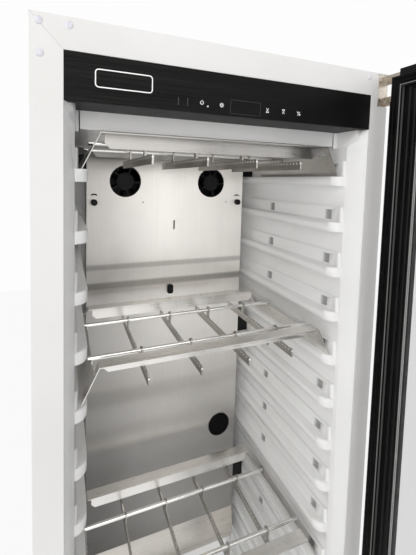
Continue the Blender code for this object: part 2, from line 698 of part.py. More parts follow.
def make_duct(surfaces, root):
    """Stainless cover over the air duct, its curved lower end, its brackets and the evaporator."""
    half = COVER_WIDTH / 2
    top = CEILING - COVER_TOP_GAP
    bottom = COVER_BOTTOM
    back = CAVITY_DEPTH
    shape = bmesh.new()
    add_prism(shape, [
        (-half, back), (-half, COVER_FACE), (half, COVER_FACE), (half, back),
        (half - COVER_SHEET, back), (half - COVER_SHEET, COVER_BACK),
        (-half + COVER_SHEET, COVER_BACK), (-half + COVER_SHEET, back),
    ], "Z", bottom, top)
    cover = finish("duct_cover", shape, surfaces["stainless"], root)
    near, far = COVER_FACE - CUT_OVERRUN, COVER_BACK + CUT_OVERRUN
    tool = bmesh.new()
    for fan in fan_centres():
        add_cylinder(tool, FAN_WINDOW, "Y", near, far, fan, ROUND + 4)
    level = CABINET_HEIGHT - KNOB_DROP
    for side in (-1, 1):
        knob = (side * (half - KNOB_INSET), level)
        add_cylinder(tool, KNOB_SCREW_RADIUS + GAP, "Y", near, far, knob, SMALL_ROUND)
        add_prism(tool, eyebrow_outline(knob[0], level + EYEBROW_RISE), "Y", near, far)
    for share in PIN_HOLE_SHARES:
        add_cylinder(tool, PIN_HOLE_RADIUS, "Y", near, far, (half * share, level), SMALL_ROUND)
    slot = (SLOT_OFFSET, CABINET_HEIGHT - SLOT_DROP)
    corner = SLOT_WIDTH * SLOT_CORNER_SHARE
    add_prism(tool, rounded_rectangle(SLOT_WIDTH, SLOT_HEIGHT, corner, slot, 2), "Y", near, far)
    port = (half - FILTER_INSET, FILTER_HEIGHT)
    add_cylinder(tool, FILTER_BODY_RADIUS + GAP, "Y", near, far, port, ROUND + 4)
    combine(cover, tool, "DIFFERENCE")

    shape = bmesh.new()
    add_loft(shape, scoop_rings(bottom))
    scoop = finish("duct_scoop", shape, surfaces["stainless"], root)
    tongue = half - COVER_SHEET - GAP
    tool = bmesh.new()
    for side in (-1, 1):
        low, high = sorted((side * tongue, side * (half + CUT_OVERRUN)))
        add_box(tool, (low, COVER_FACE, bottom - GAP), (high, back, bottom + SCOOP_OVERLAP + CUT_OVERRUN))
    combine(scoop, tool, "DIFFERENCE")

    inner, outer = half + GAP, CAVITY_HALF - PAD_REACH - GAP
    for level, index in zip(BRACKET_NAMES, BRACKET_RAILS):
        middle = rail_top(index) + GAP + BRACKET_HEIGHT / 2
        for name, side in (("left", -1), ("right", 1)):
            centre = (side * (inner + outer) / 2, middle)
            rim = rectangle(outer - inner, BRACKET_HEIGHT, centre)
            well = rectangle(outer - inner - 2 * BRACKET_WALL, BRACKET_HEIGHT - 2 * BRACKET_WALL, centre)
            shape = bmesh.new()
            add_cup(shape, rim, well, "Y", COVER_FACE, COVER_FACE + BRACKET_WALL, back - BRACKET_BACK_GAP)
            finish(f"{level}_bracket_{name}", shape, surfaces["black_plastic"], root)

    low = CABINET_HEIGHT - EVAPORATOR_DROP - EVAPORATOR_HEIGHT
    shape = bmesh.new()
    fins = comb(COVER_WIDTH - 2 * EVAPORATOR_INSET, EVAPORATOR_DEPTH, EVAPORATOR_FINS, CAVITY_DEPTH, 0)
    add_prism(shape, fins, "Z", low, low + EVAPORATOR_HEIGHT)
    finish("evaporator", shape, surfaces["aluminium"], root)


def eyebrow_outline(x, top):
    """Arched slot above a thumb screw, with the height of its crown."""
    half = math.radians(EYEBROW_HALF_DEGREES)
    angles = [half * (2 * i / EYEBROW_STEPS - 1) for i in range(EYEBROW_STEPS + 1)]
    low = top - EYEBROW_RADIUS
    inner = EYEBROW_RADIUS - EYEBROW_BAND
    points = [(x + EYEBROW_RADIUS * math.sin(a), low + EYEBROW_RADIUS * math.cos(a)) for a in angles]
    angles.reverse()
    return [*points, *((x + inner * math.sin(a), low + inner * math.cos(a)) for a in angles)]


def scoop_rings(cover_bottom):
    """Rings down the cover's lower end: a tongue behind the cover, a bulge, then a curve to the wall."""
    turn = math.radians(SCOOP_TURN_DEGREES)
    bend = SCOOP_OVERLAP + SCOOP_STRAIGHT
    length = bend + SCOOP_RADIUS * turn
    start = cover_bottom + SCOOP_OVERLAP
    face = COVER_BACK + GAP
    first = SCOOP_OVERLAP + GAP
    places = [0, first] + [first + (length - first) * (i + 1) / SCOOP_STEPS for i in range(SCOOP_STEPS)]
    rings = []
    for place in places:
        angle = max(0.0, place - bend) / SCOOP_RADIUS
        drop = min(place, bend) + SCOOP_RADIUS * math.sin(angle)
        bulge = SCOOP_BULGE * math.sin(math.pi * max(0.0, place - first) / (length - first))
        into_corner = max(0.0, place - (length - SCOOP_CORNER))
        rounding = math.sqrt(max(0.0, SCOOP_CORNER ** 2 - into_corner ** 2))
        half = COVER_WIDTH / 2 - SCOOP_CORNER + rounding
        y, z = face + SCOOP_RADIUS * (1 - math.cos(angle)) - bulge, start - drop
        far_y, far_z = y + COVER_SHEET * math.cos(angle), z + COVER_SHEET * math.sin(angle)
        rings.append([(-half, y, z), (half, y, z), (half, far_y, far_z), (-half, far_y, far_z)])
    return rings


def comb(width, depth, fins, back, middle):
    """Outline of a finned block in plan, its fins towards the front."""
    pitch = width / (2 * fins - 1)
    core = back - GAP - depth * FIN_CORE_SHARE
    front = back - GAP - depth
    points = []
    for i in range(fins):
        x = middle - width / 2 + 2 * i * pitch
        points += [(x, core), (x, front), (x + pitch, front), (x + pitch, core)]
    return [(middle + width / 2, back - GAP), (middle - width / 2, back - GAP), *points[1:-1]]


def make_fan_frame(name, centre, front, surface, root):
    """Square frame with a round bore and a spider that carries the bearing."""
    shape = bmesh.new()
    outline = rounded_rectangle(FAN_SIZE, FAN_SIZE, FAN_SIZE * FAN_CORNER_SHARE, centre, 2)
    add_pierced_plate(shape, outline, [circle(FAN_BORE, ROUND, centre)], "Y", front, front + FAN_DEPTH)
    frame = finish(name, shape, surface, root)
    spider = bmesh.new()
    add_pierced_plate(spider, circle(FAN_BORE + EMBED, ROUND, centre), spider_windows(centre), "Y",
                      front + 2 * GAP, front + FAN_SPIDER)
    combine(frame, spider, "UNION")
    bearing = bmesh.new()
    near, far = front + FAN_SPIDER / 2, front + FAN_SPIDER + CUT_OVERRUN
    add_cylinder(bearing, FAN_SHAFT + GAP, "Y", near, far, centre, SMALL_ROUND)
    combine(frame, bearing, "DIFFERENCE")


def spider_windows(centre):
    """Openings between the struts that carry a fan's hub."""
    windows = []
    rim = FAN_BORE - FAN_RIM
    for i in range(FAN_STRUTS):
        low = math.tau * i / FAN_STRUTS
        span = math.tau / FAN_STRUTS * (1 - FAN_STRUT_SHARE)
        arc = [low + span * k / FAN_ARC_STEPS for k in range(FAN_ARC_STEPS + 1)]
        points = [(centre[0] + rim * math.cos(a), centre[1] + rim * math.sin(a)) for a in arc]
        arc.reverse()
        points += [(centre[0] + FAN_HUB * math.cos(a), centre[1] + FAN_HUB * math.sin(a)) for a in arc]
        windows.append(points)
    return windows


def make_rotor(name, centre, front, surface, root):
    """Fan rotor on a short shaft, its origin on its axis."""
    rotor_front = FAN_SPIDER + FAN_HUB_CLEARANCE
    radius = FAN_HUB - FAN_HUB_CLEARANCE
    shape = bmesh.new()
    add_turned(shape, [
        (FAN_SHAFT, FAN_SPIDER / 2 + GAP), (FAN_SHAFT, rotor_front),
        (radius, rotor_front), (radius, rotor_front + FAN_ROTOR_DEPTH),
    ], "Y")
    rotor = finish(name, shape, surface, root, (centre[0], front, centre[1]))
    blades = bmesh.new()
    tilt = Matrix.Rotation(math.radians(FAN_BLADE_PITCH_DEGREES), 4, "X")
    middle = Matrix.Translation((0, rotor_front + FAN_ROTOR_DEPTH / 2, 0))
    section = rectangle(FAN_BLADE_CHORD, FAN_BLADE_THICKNESS, (0, 0))
    for i in range(FAN_BLADES):
        turn = Matrix.Rotation(math.tau * i / FAN_BLADES, 4, "Y")
        add_loft(blades, [
            [middle @ turn @ tilt @ Vector((x, y, z)) for y, z in section]
            for x in (radius - CUT_OVERRUN, FAN_BORE - FAN_TIP_CLEARANCE)
        ])
    combine(rotor, blades, "UNION")


def make_fans(surface, root):
    front = COVER_BACK + GAP
    for name, centre in zip(("fan_left", "fan_right"), fan_centres()):
        make_fan_frame(name + "_frame", centre, front, surface, root)
        make_rotor(name + "_rotor", centre, front, surface, root)


def add_cup(shape, outer, inner, axis, outside, inside, rim):
    """Open tray: closed at its outside face, its floor's inner face and rim given along the axis."""
    loops = [
        [shape.verts.new(across(axis, u, v, along)) for u, v in outline]
        for outline, along in ((outer, outside), (outer, rim), (inner, rim), (inner, inside))
    ]
    count = len(outer)
    for near, far in zip(loops, loops[1:]):
        for i in range(count):
            j = (i + 1) % count
            shape.faces.new((near[i], near[j], far[j], far[i]))
    shape.faces.new(loops[0])
    shape.faces.new(loops[-1])


def make_fittings(surfaces, root):
    """Thumb screws, air filter plug and sensor on the duct cover."""
    face = COVER_FACE - GAP
    for name, side in (("left", -1), ("right", 1)):
        centre = (side * (COVER_WIDTH / 2 - KNOB_INSET), CABINET_HEIGHT - KNOB_DROP)
        ribbed = []
        for i, (x, z) in enumerate(circle(KNOB_RADIUS, 2 * KNOB_RIBS)):
            scale = 1 - (i % 2) * KNOB_RIB_DEPTH / KNOB_RADIUS
            ribbed.append((centre[0] + x * scale, centre[1] + z * scale))
        stem = circle(KNOB_SCREW_RADIUS, 2 * KNOB_RIBS, centre)
        shape = bmesh.new()
        add_loft(shape, [
            [across("Y", x, z, y) for x, z in outline]
            for outline, y in (
                (ribbed, face - KNOB_HEIGHT), (ribbed, face), (stem, face), (stem, face + KNOB_SCREW_LENGTH),
            )
        ])
        finish("thumb_screw_" + name, shape, surfaces["black_plastic"], root)

    shape = bmesh.new()
    add_turned(shape, [
        (FILTER_WELL_RADIUS, face - FILTER_FLANGE + FILTER_DISH), (FILTER_RIM_RADIUS, face - FILTER_FLANGE),
        (FILTER_RADIUS, face - FILTER_FLANGE / 2), (FILTER_RADIUS, face), (FILTER_BODY_RADIUS, face),
        (FILTER_BODY_RADIUS, face + FILTER_DEPTH),
    ], "Y", (COVER_WIDTH / 2 - FILTER_INSET, FILTER_HEIGHT), ROUND + 4)
    finish("air_filter", shape, surfaces["black_plastic"], root)

    centre = (SENSOR_OFFSET, CABINET_HEIGHT - SENSOR_DROP)
    shape = bmesh.new()
    add_loft(shape, [
        [
            across("Y", u, v, y)
            for u, v in rounded_rectangle(SENSOR_WIDTH * share, SENSOR_HEIGHT * share,
                                          SENSOR_WIDTH * share * SENSOR_CORNER_SHARE, centre, 1)
        ]
        for share, y in (
            (SENSOR_FACE_SHARE, face - SENSOR_DEPTH),
            (1, face - SENSOR_DEPTH * SENSOR_SHOULDER_SHARE),
            (1, face),
        )
    ])
    finish("sensor_cover", shape, surfaces["grey_plastic"], root)


def make_control_panel(surfaces, root):
    """Housing in the head of the frame and its black fascia."""
    top, bottom = CABINET_HEIGHT - FRAME_HEAD - GAP, PANEL_BOTTOM
    width, height = 2 * (MOUTH_HALF - GAP), top - bottom
    middle = (top + bottom) / 2
    shape = bmesh.new()
    add_prism(shape, rectangle(width, height, (0, middle)), "Y", FASCIA_RECESS, FASCIA_BACK)
    finish("control_fascia", shape, surfaces["black_fascia"], root)
    outer = rectangle(width, height, (0, middle))
    inner = rectangle(width - 2 * HOUSING_WALL, height - 2 * HOUSING_WALL, (0, middle))
    shape = bmesh.new()
    add_cup(shape, outer, inner, "Y", HOUSING_BACK, HOUSING_BACK - HOUSING_WALL, FASCIA_BACK + GAP)
    finish("control_housing", shape, surfaces["black_plastic"], root)


def toothed_edge(high, low):
    """Saw teeth from one place along the rack to a lower one, tips first and last."""
    count = max(1, round((high - low) / TOOTH_PITCH))
    step = (high - low) / count
    points = []
    for i in range(count):
        tip = high - step * i
        points += [(tip, TOOTH_TIP_HEIGHT), (tip - step / 2, TOOTH_TIP_HEIGHT - TOOTH_DEPTH)]
    return [*points, (low, TOOTH_TIP_HEIGHT)]


def side_outline():
    """Side of a rack: full height at both ends, toothed between them, with flat seats for the rods."""
    seat = TOOTH_TIP_HEIGHT - SEAT_DEPTH
    half = ROD_RADIUS + SEAT_CLEARANCE
    front_rod, back_rod = ROD_PLACES
    points = [(0, 0), (RACK_DEPTH, 0), (RACK_DEPTH, RACK_HEIGHT), (RACK_DEPTH - STRIP_WIDTH, RACK_HEIGHT)]
    points += toothed_edge(RACK_DEPTH - WINDOW_FOOT, back_rod + half)
    points += [(back_rod + half, seat), (back_rod - half, seat)]
    points += toothed_edge(back_rod - half, front_rod + half)
    points += [(front_rod + half, seat), (front_rod - half, seat)]
    points += toothed_edge(front_rod - half, WINDOW_FOOT)
    return [*points, (STRIP_WIDTH, RACK_HEIGHT), (0, RACK_HEIGHT)]


def rack_frame_mesh(surface):
    """Folded sheet: leaning toothed sides, a strip across each end and a lip on each strip."""
    lean = RACK_LEAN / RACK_HEIGHT
    half = RACK_TOP_WIDTH / 2 - RACK_SHEET / 2
    under = RACK_HEIGHT - RACK_SHEET
    shape = bmesh.new()
    for side in (-1, 1):
        add_loft(shape, [
            [(side * (RACK_WIDTH / 2 - lean * z - inset), y, z) for y, z in side_outline()]
            for inset in (0, RACK_SHEET)
        ])
    frame = finish("rack_frame_pattern", shape, surface)
    strips = bmesh.new()
    for near in (0, RACK_DEPTH - STRIP_WIDTH):
        add_box(strips, (-half, near + GAP, under - GAP),
                (half, near + STRIP_WIDTH - GAP, RACK_HEIGHT - GAP))
    combine(frame, strips, "UNION")
    low = RACK_HEIGHT - LIP_DROP
    wide = RACK_TOP_WIDTH / 2 - LIP_INSET
    outline = [
        (-wide, under), (wide, under), (wide, low + LIP_CORNER), (wide - LIP_CORNER, low),
        (-wide + LIP_CORNER, low), (-wide, low + LIP_CORNER),
    ]
    lips = bmesh.new()
    for y in (STRIP_WIDTH - 2 * GAP - RACK_SHEET, RACK_DEPTH - STRIP_WIDTH + 2 * GAP):
        add_prism(lips, outline, "Y", y, y + RACK_SHEET)
    combine(frame, lips, "UNION")
    evaluated = frame.evaluated_get(bpy.context.evaluated_depsgraph_get())
    mesh = bpy.data.meshes.new_from_object(evaluated)
    mesh.name = "rack_frame"
    for thing in [*frame.children, frame]:
        bpy.data.objects.remove(thing, do_unlink=True)
    return mesh


def notched_edge(high, low, top):
    """Straight edge with small notches, from one place along the blade to a lower one."""
    count = max(1, round(BLADE_NOTCHES * (high - low) / RACK_DEPTH))
    step = (high - low) / count
    width = step * BLADE_NOTCH_SHARE
    points = []
    for i in range(count):
        middle = high - step * (i + 0.5)
        points += [(middle + width / 2, top), (middle, top - BLADE_NOTCH_DEPTH), (middle - width / 2, top)]
    return points


def eye_outline(place, top):
    """Outer edge of the eye that hangs a blade on a rod, up one side of its neck and down the other."""
    angle = math.asin(EYE_NECK / 2 / EYE_RADIUS)
    sweep = (math.tau - 2 * angle) / EYE_STEPS
    start = angle - math.pi / 2
    arc = [start + sweep * i for i in range(EYE_STEPS + 1)]
    points = [(place + EYE_RADIUS * math.cos(a), EYE_RADIUS * math.sin(a)) for a in arc]
    return [(place + EYE_NECK / 2, top), *points, (place - EYE_NECK / 2, top)]


def blade_mesh(surface):
    """Flat notched blade with an eye round each rod; its origin is at the height of the rods."""
    top, bottom = -BLADE_DROP, -BLADE_DROP - BLADE_HEIGHT
    front_rod, back_rod = ROD_PLACES
    neck = EYE_NECK / 2
    outline = [(0, bottom), (RACK_DEPTH, bottom), (RACK_DEPTH, top)]
    outline += notched_edge(RACK_DEPTH, back_rod + neck, top) + eye_outline(back_rod, top)
    outline += notched_edge(back_rod - neck, front_rod + neck, top) + eye_outline(front_rod, top)
    outline += notched_edge(front_rod - neck, 0, top) + [(0, top)]
    holes = [circle(ROD_RADIUS + EYE_CLEARANCE, SMALL_ROUND, (place, 0)) for place in ROD_PLACES]
    shape = bmesh.new()
    add_pierced_plate(shape, outline, holes, "X", -BLADE_THICKNESS / 2, BLADE_THICKNESS / 2)
    bmesh.ops.recalc_face_normals(shape, faces=shape.faces)
    mesh = bpy.data.meshes.new("rack_blade")
    shape.to_mesh(mesh)
    shape.free()
    mesh.materials.append(surface)
    return mesh


def make_racks(surfaces, root):
    frame = rack_frame_mesh(surfaces["stainless"])
    blade = blade_mesh(surfaces["stainless"])
    for name, rail in zip(RACK_NAMES, RACK_RAILS):
        rack = make_empty(name + "_rack_slide", (0, RACK_SETBACK, rail_top(rail) + GAP), root)
        place_mesh(name + "_rack_frame", frame, surfaces["stainless"], rack)
        for end, place in zip(("front", "back"), ROD_PLACES):
            shape = bmesh.new()
            centre = (place, ROD_HEIGHT)
            add_cylinder(shape, ROD_RADIUS, "X", -ROD_LENGTH / 2, ROD_LENGTH / 2, centre, SMALL_ROUND)
            finish(f"{name}_rack_{end}_rod", shape, surfaces["stainless"], rack)
        for i in range(BLADE_COUNT):
            x = BLADE_PITCH * (i - (BLADE_COUNT - 1) / 2) + BLADE_OFFSET
            place_mesh(f"{name}_rack_blade_{i + 1}", blade, surfaces["stainless"], rack, (x, 0, ROD_HEIGHT))


def hinge_levels(middle):
    """Lower arm, knuckle and upper arm of a hinge, each as a pair of heights."""
    low, high = middle - PLATE_HEIGHT / 2 + PIN_END, middle + PLATE_HEIGHT / 2 - PIN_END
    lower_arm = (low, low + ARM_HEIGHT)
    upper_arm = (high - ARM_HEIGHT, high)
    knuckle = (lower_arm[1] + KNUCKLE_CLEARANCE, upper_arm[0] - KNUCKLE_CLEARANCE)
    return lower_arm, knuckle, upper_arm


def boss_arc(start, end):
    """Points round the hinge axis between two angles in degrees."""
    angles = [math.radians(start + (end - start) * i / BOSS_STEPS) for i in range(BOSS_STEPS + 1)]
    return [(PIVOT_X + HINGE_BOSS * math.cos(a), -PIVOT_FORWARD + HINGE_BOSS * math.sin(a)) for a in angles]


def hinge_pockets():
    """Cuts in the door's hinge side for the hinge arms and knuckles."""
    tool = bmesh.new()
    inner = PIVOT_X - HINGE_BOSS - POCKET_CLEARANCE
    front = -PIVOT_FORWARD - POCKET_FORWARD
    for (_, middle), outward in zip(plate_centres().values(), (1, -1)):
        near = middle - outward * (PLATE_HEIGHT / 2 + POCKET_CLEARANCE)
        far = middle + outward * (PLATE_HEIGHT / 2 + CUT_OVERRUN)
        low, high = sorted((near, far))
        add_box(tool, (inner, front, low), (HALF_WIDTH + CUT_OVERRUN, CUT_OVERRUN, high))
    return tool


def hinge_knuckles():
    """Bored blocks of the door between the arms of its hinges."""
    inner = PIVOT_X - HINGE_BOSS - POCKET_CLEARANCE - EMBED
    outline = [(inner, DOOR_FRAME_FACE), *boss_arc(-165, 90), (inner, -PIVOT_FORWARD + HINGE_BOSS)]
    bore = circle(PIN_RADIUS + PIN_CLEARANCE, SMALL_ROUND, (PIVOT_X, -PIVOT_FORWARD))
    shape = bmesh.new()
    for _, middle in plate_centres().values():
        _, (low, high), _ = hinge_levels(middle)
        add_pierced_plate(shape, outline, [bore], "Z", low, high)
    return shape


def make_door(surfaces, root):
    """Door modelled closed, hung on its hinge axis and turned open."""
    axis = make_empty("door_axis", (PIVOT_X, -PIVOT_FORWARD, 0), root, math.radians(DOOR_OPEN_DEGREES))
    place = (-PIVOT_X, PIVOT_FORWARD, 0)
    middle = (DOOR_TOP + DOOR_BOTTOM) / 2
    width, height = CABINET_WIDTH, DOOR_TOP - DOOR_BOTTOM

    def ring(name, inset, end_inset, band, near, far, surface):
        shape = bmesh.new()
        outer = rectangle(width - 2 * inset, height - 2 * end_inset, (0, middle))
        inner = rectangle(width - 2 * (inset + band), height - 2 * (end_inset + band), (0, middle))
        add_ring(shape, outer, inner, "Y", near, far)
        return finish(name, shape, surface, axis, place)

    def pane(name, inset, near, far):
        shape = bmesh.new()
        outline = rectangle(width - 2 * inset, height - 2 * inset, (0, middle))
        add_prism(shape, outline, "Y", near, far)
        finish(name, shape, surfaces["glass"], axis, place)

    band = DOOR_FRAME_WIDTH - DOOR_FRAME_INSET
    body = ring("door_frame", DOOR_FRAME_INSET, DOOR_FRAME_INSET, band, DOOR_FRAME_FACE, DOOR_INNER_FACE,
                surfaces["black_frame"])
    combine(body, hinge_pockets(), "DIFFERENCE")
    combine(body, hinge_knuckles(), "UNION")
    rebate = bmesh.new()
    inset = DOOR_TRIM_WIDTH + PANE_LEDGE
    outline = rectangle(width - 2 * inset, height - 2 * inset, (0, middle))
    add_prism(rebate, outline, "Y", DOOR_FRAME_FACE - CUT_OVERRUN, DOOR_INNER_FACE - DOOR_FLANGE_DEPTH)
    combine(body, rebate, "DIFFERENCE")
    trim = ring("door_trim", 0, 0, DOOR_TRIM_WIDTH, DOOR_OUTER_FACE, DOOR_TRIM_BACK, surfaces["stainless"])
    combine(trim, hinge_pockets(), "DIFFERENCE")
    ring("door_gasket", GASKET_SIDE_INSET, GASKET_END_INSET, GASKET_WIDTH, DOOR_INNER_FACE + GAP,
         -GASKET_GAP, surfaces["gasket"])

    pane_back = DOOR_INNER_FACE - INNER_PANE_SETBACK
    pane("outer_pane", DOOR_TRIM_WIDTH + GAP, DOOR_TRIM_BACK - PANE, DOOR_TRIM_BACK)
    pane("inner_pane", DOOR_FRAME_WIDTH + GAP, pane_back - PANE, pane_back)

    x = -HALF_WIDTH + HANDLE_INSET
    bar = DOOR_OUTER_FACE - HANDLE_STANDOFF
    low, high = middle + HANDLE_RISE - HANDLE_LENGTH / 2, middle + HANDLE_RISE + HANDLE_LENGTH / 2
    shape = bmesh.new()
    add_cylinder(shape, HANDLE_RADIUS, "Z", low, high, (x, bar), SMALL_ROUND + 4)
    handle = finish("door_handle", shape, surfaces["stainless"], axis, place)
    posts = bmesh.new()
    for z in (low + HANDLE_POST_INSET, high - HANDLE_POST_INSET):
        add_cylinder(posts, HANDLE_POST_RADIUS, "Y", bar, DOOR_OUTER_FACE - GAP, (x, z), SMALL_ROUND)
    combine(handle, posts, "UNION")


def make_hinges(surface, root):
    """Hinge plates with their arms and pins, all on the cabinet."""
    arm_outer = HALF_WIDTH - GAP
    arm_inner = arm_outer - ARM_THICKNESS
    outline = [
        (arm_inner, PLATE_THICKNESS / 2), (arm_outer, PLATE_THICKNESS / 2),
        (arm_outer, -PIVOT_FORWARD + HINGE_BOSS),
        *boss_arc(30, -180), (arm_inner, -PIVOT_FORWARD + 2 * HINGE_BOSS),
    ]
    for name, centre in plate_centres().items():
        shape = bmesh.new()
        plate = rounded_rectangle(PLATE_WIDTH, PLATE_HEIGHT, PLATE_CORNER, centre)
        add_prism(shape, plate, "Y", 0, PLATE_THICKNESS)
        hinge = finish(name + "_hinge", shape, surface, root)
        lower_arm, _, upper_arm = hinge_levels(centre[1])
        arms = bmesh.new()
        for low, high in (lower_arm, upper_arm):
            add_prism(arms, outline, "Z", low, high)
        combine(hinge, arms, "UNION")
        pin = bmesh.new()
        low, high = lower_arm[0] - PIN_END, upper_arm[1] + PIN_END
        add_cylinder(pin, PIN_RADIUS, "Z", low, high, (PIVOT_X, -PIVOT_FORWARD), SMALL_ROUND)
        combine(hinge, pin, "UNION")


def make_machine_bay(surfaces, root):
    """Compressor on the base pan, and power inlet in the back cover."""
    x, y = COMPRESSOR_SIDE_INSET - HALF_WIDTH, BODY_DEPTH - COMPRESSOR_BACK_INSET
    foot_low = BASE_SHEET + GAP
    plate_low = foot_low + RUBBER_FOOT_HEIGHT
    shell_low = plate_low + COMPRESSOR_PLATE
    spread = COMPRESSOR_RADIUS + COMPRESSOR_PLATE_OVERHANG
    profile = [(spread, plate_low), (spread, shell_low)]
    for radius_share, height_share in zip(COMPRESSOR_RADIUS_SHARES, COMPRESSOR_HEIGHT_SHARES):
        profile.append((COMPRESSOR_RADIUS * radius_share, shell_low + COMPRESSOR_HEIGHT * height_share))
    shape = bmesh.new()
    add_turned(shape, profile, "Z", (x, y))
    compressor = finish("compressor", shape, surfaces["black_steel"], root)
    feet = bmesh.new()
    offset = (spread - RUBBER_FOOT_RADIUS) / math.sqrt(2)
    for a, b in ((-1, -1), (1, -1), (1, 1), (-1, 1)):
        centre = (x + a * offset, y + b * offset)
        add_cylinder(feet, RUBBER_FOOT_RADIUS, "Z", foot_low, plate_low + EMBED, centre, SMALL_ROUND)
    combine(compressor, feet, "UNION")

    outer = rectangle(SOCKET_WIDTH, SOCKET_HEIGHT, SOCKET_CENTRE)
    inner = rectangle(SOCKET_WIDTH - 2 * SOCKET_WALL, SOCKET_HEIGHT - 2 * SOCKET_WALL, SOCKET_CENTRE)
    shape = bmesh.new()
    add_cup(shape, outer, inner, "Y", BODY_DEPTH - SOCKET_DEPTH, BODY_DEPTH - SOCKET_RECESS, BODY_DEPTH)
    finish("power_inlet", shape, surfaces["black_plastic"], root)


def stand_on_origin(root):
    """Move everything so that the footprint's middle is the origin."""
    bpy.context.view_layer.update()
    graph = bpy.context.evaluated_depsgraph_get()
    corners = []
    for thing in bpy.data.objects:
        if thing.type != "MESH" or thing.hide_render:
            continue
        evaluated = thing.evaluated_get(graph)
        mesh = evaluated.to_mesh()
        corners += [evaluated.matrix_world @ vertex.co for vertex in mesh.vertices]
        evaluated.to_mesh_clear()
    for index in (0, 1):
        values = [corner[index] for corner in corners]
        root.location[index] = -(min(values) + max(values)) / 2
    root.location[2] = -min(corner[2] for corner in corners)
    bpy.context.view_layer.update()


def main():
    clear_scene()
    surfaces = {
        "casing": make_material("casing_paint", (0.80, 0.80, 0.79), 0.40),
        "frame": make_material("frame_paint", (0.86, 0.86, 0.85), 0.35),
        "liner": make_material("liner_plastic", (0.76, 0.76, 0.75), 0.45),
        "stainless": make_material("stainless", (0.62, 0.61, 0.58), 0.30, 1.0),
        "nickel": make_material("nickel", (0.72, 0.70, 0.66), 0.25, 1.0),
        "aluminium": make_material("aluminium", (0.70, 0.71, 0.72), 0.40, 1.0),
        "zinc": make_material("zinc_sheet", (0.55, 0.56, 0.57), 0.50, 0.9),
        "black_steel": make_material("black_steel", (0.03, 0.03, 0.03), 0.50),
        "black_fascia": make_material("black_fascia", (0.012, 0.012, 0.013), 0.32, 0.3),
        "black_frame": make_material("black_frame", (0.015, 0.015, 0.016), 0.42),
        "black_plastic": make_material("black_plastic", (0.02, 0.02, 0.02), 0.50),
        "grey_plastic": make_material("grey_plastic", (0.35, 0.35, 0.36), 0.50),
        "gasket": make_material("gasket_rubber", (0.03, 0.03, 0.03), 0.60),
        "glass": make_material("glass", (0.85, 0.88, 0.87), 0.03, 0.0, 0.30),
        "foam": make_material("foam", (0.78, 0.72, 0.52), 0.90),
    }
    root = make_empty("cabinet", (0, 0, 0))
    make_front_frame(surfaces["frame"], root)
    make_casing(surfaces, root)
    make_insulation(surfaces["foam"], root)
    make_liner(surfaces["liner"], root)
    make_duct(surfaces, root)
    make_fans(surfaces["black_plastic"], root)
    make_fittings(surfaces, root)
    make_control_panel(surfaces, root)
    make_racks(surfaces, root)
    make_hinges(surfaces["nickel"], root)
    make_door(surfaces, root)
    make_machine_bay(surfaces, root)
    stand_on_origin(root)


main()
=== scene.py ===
"""Looks of the dry curing cabinet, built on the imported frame.

Metres, +Z up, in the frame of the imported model. Sizes that belong to the cabinet itself are written in
cabinet coordinates: X = 0 its middle, Y = 0 the face of the front frame, Z = 0 the floor.
"""

import json
import math

import bmesh
import bpy
import numpy as np
from mathutils import Matrix, Vector


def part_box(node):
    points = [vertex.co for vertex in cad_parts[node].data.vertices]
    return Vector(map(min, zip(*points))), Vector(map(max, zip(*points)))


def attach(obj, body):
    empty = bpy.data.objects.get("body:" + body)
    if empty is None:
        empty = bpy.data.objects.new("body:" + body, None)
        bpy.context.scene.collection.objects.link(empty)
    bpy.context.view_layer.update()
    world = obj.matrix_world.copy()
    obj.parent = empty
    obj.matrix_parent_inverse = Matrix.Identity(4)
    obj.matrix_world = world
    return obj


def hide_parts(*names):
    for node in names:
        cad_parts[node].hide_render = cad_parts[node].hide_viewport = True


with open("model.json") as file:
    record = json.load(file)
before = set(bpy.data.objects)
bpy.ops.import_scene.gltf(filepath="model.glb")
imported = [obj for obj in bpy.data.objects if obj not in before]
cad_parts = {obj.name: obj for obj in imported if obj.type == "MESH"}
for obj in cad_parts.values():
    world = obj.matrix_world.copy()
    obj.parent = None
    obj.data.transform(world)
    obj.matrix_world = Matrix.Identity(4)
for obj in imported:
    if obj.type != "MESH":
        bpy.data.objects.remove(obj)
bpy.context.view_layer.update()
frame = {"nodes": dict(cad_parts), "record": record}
NODES = frame["nodes"]
BODY_OF = {node: body for body, names in frame["record"]["behaviour"]["bodies"].items() for node in names}

SHELL_LOW, SHELL_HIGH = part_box("front_frame")
MIDDLE = (SHELL_LOW.x + SHELL_HIGH.x) / 2
FACE = SHELL_LOW.y
TOP = SHELL_HIGH.z
HALF = (SHELL_HIGH.x - SHELL_LOW.x) / 2
FRAME_SIDE, FRAME_HEAD = 0.039, 0.040
PLINTH = SHELL_LOW.z

# Door: its hinge axis, how far it stands open, and how far its ends and gasket stay inside the frame
PIVOT_FROM_SIDE = 0.008
PIVOT_FORWARD = 0.0385
DOOR_OPEN_DEGREES = 91.4
DOOR_END_GAP = 0.007
GASKET_INSET = 0.014
GASKET_SIDE_GAP = 0.007
PIVOT = Vector((MIDDLE + HALF - PIVOT_FROM_SIDE, FACE - PIVOT_FORWARD, 0.0))
DOOR_TURN = Matrix.Rotation(math.radians(DOOR_OPEN_DEGREES), 4, "Z")

# Pockets moulded in the rail walls, whose shade is painted: middle of the first row and column, and their
# pitches
RAIL_PITCH = 0.0877
FIRST_POCKET_DROP = 0.1718
FIRST_POCKET_DEPTH = 0.0665
POCKET_SPACING = 0.178

# Painted reflections on the duct cover, as dark bands: how far below the top, half width inside and outside
# the soft edge, and strength
COVER_PAINTED_REFLECTIONS = ((0.412, 0.003, 0.010, 0.34), (0.458, 0.004, 0.012, 0.54), (0.745, 0.008, 0.030, 0.08))

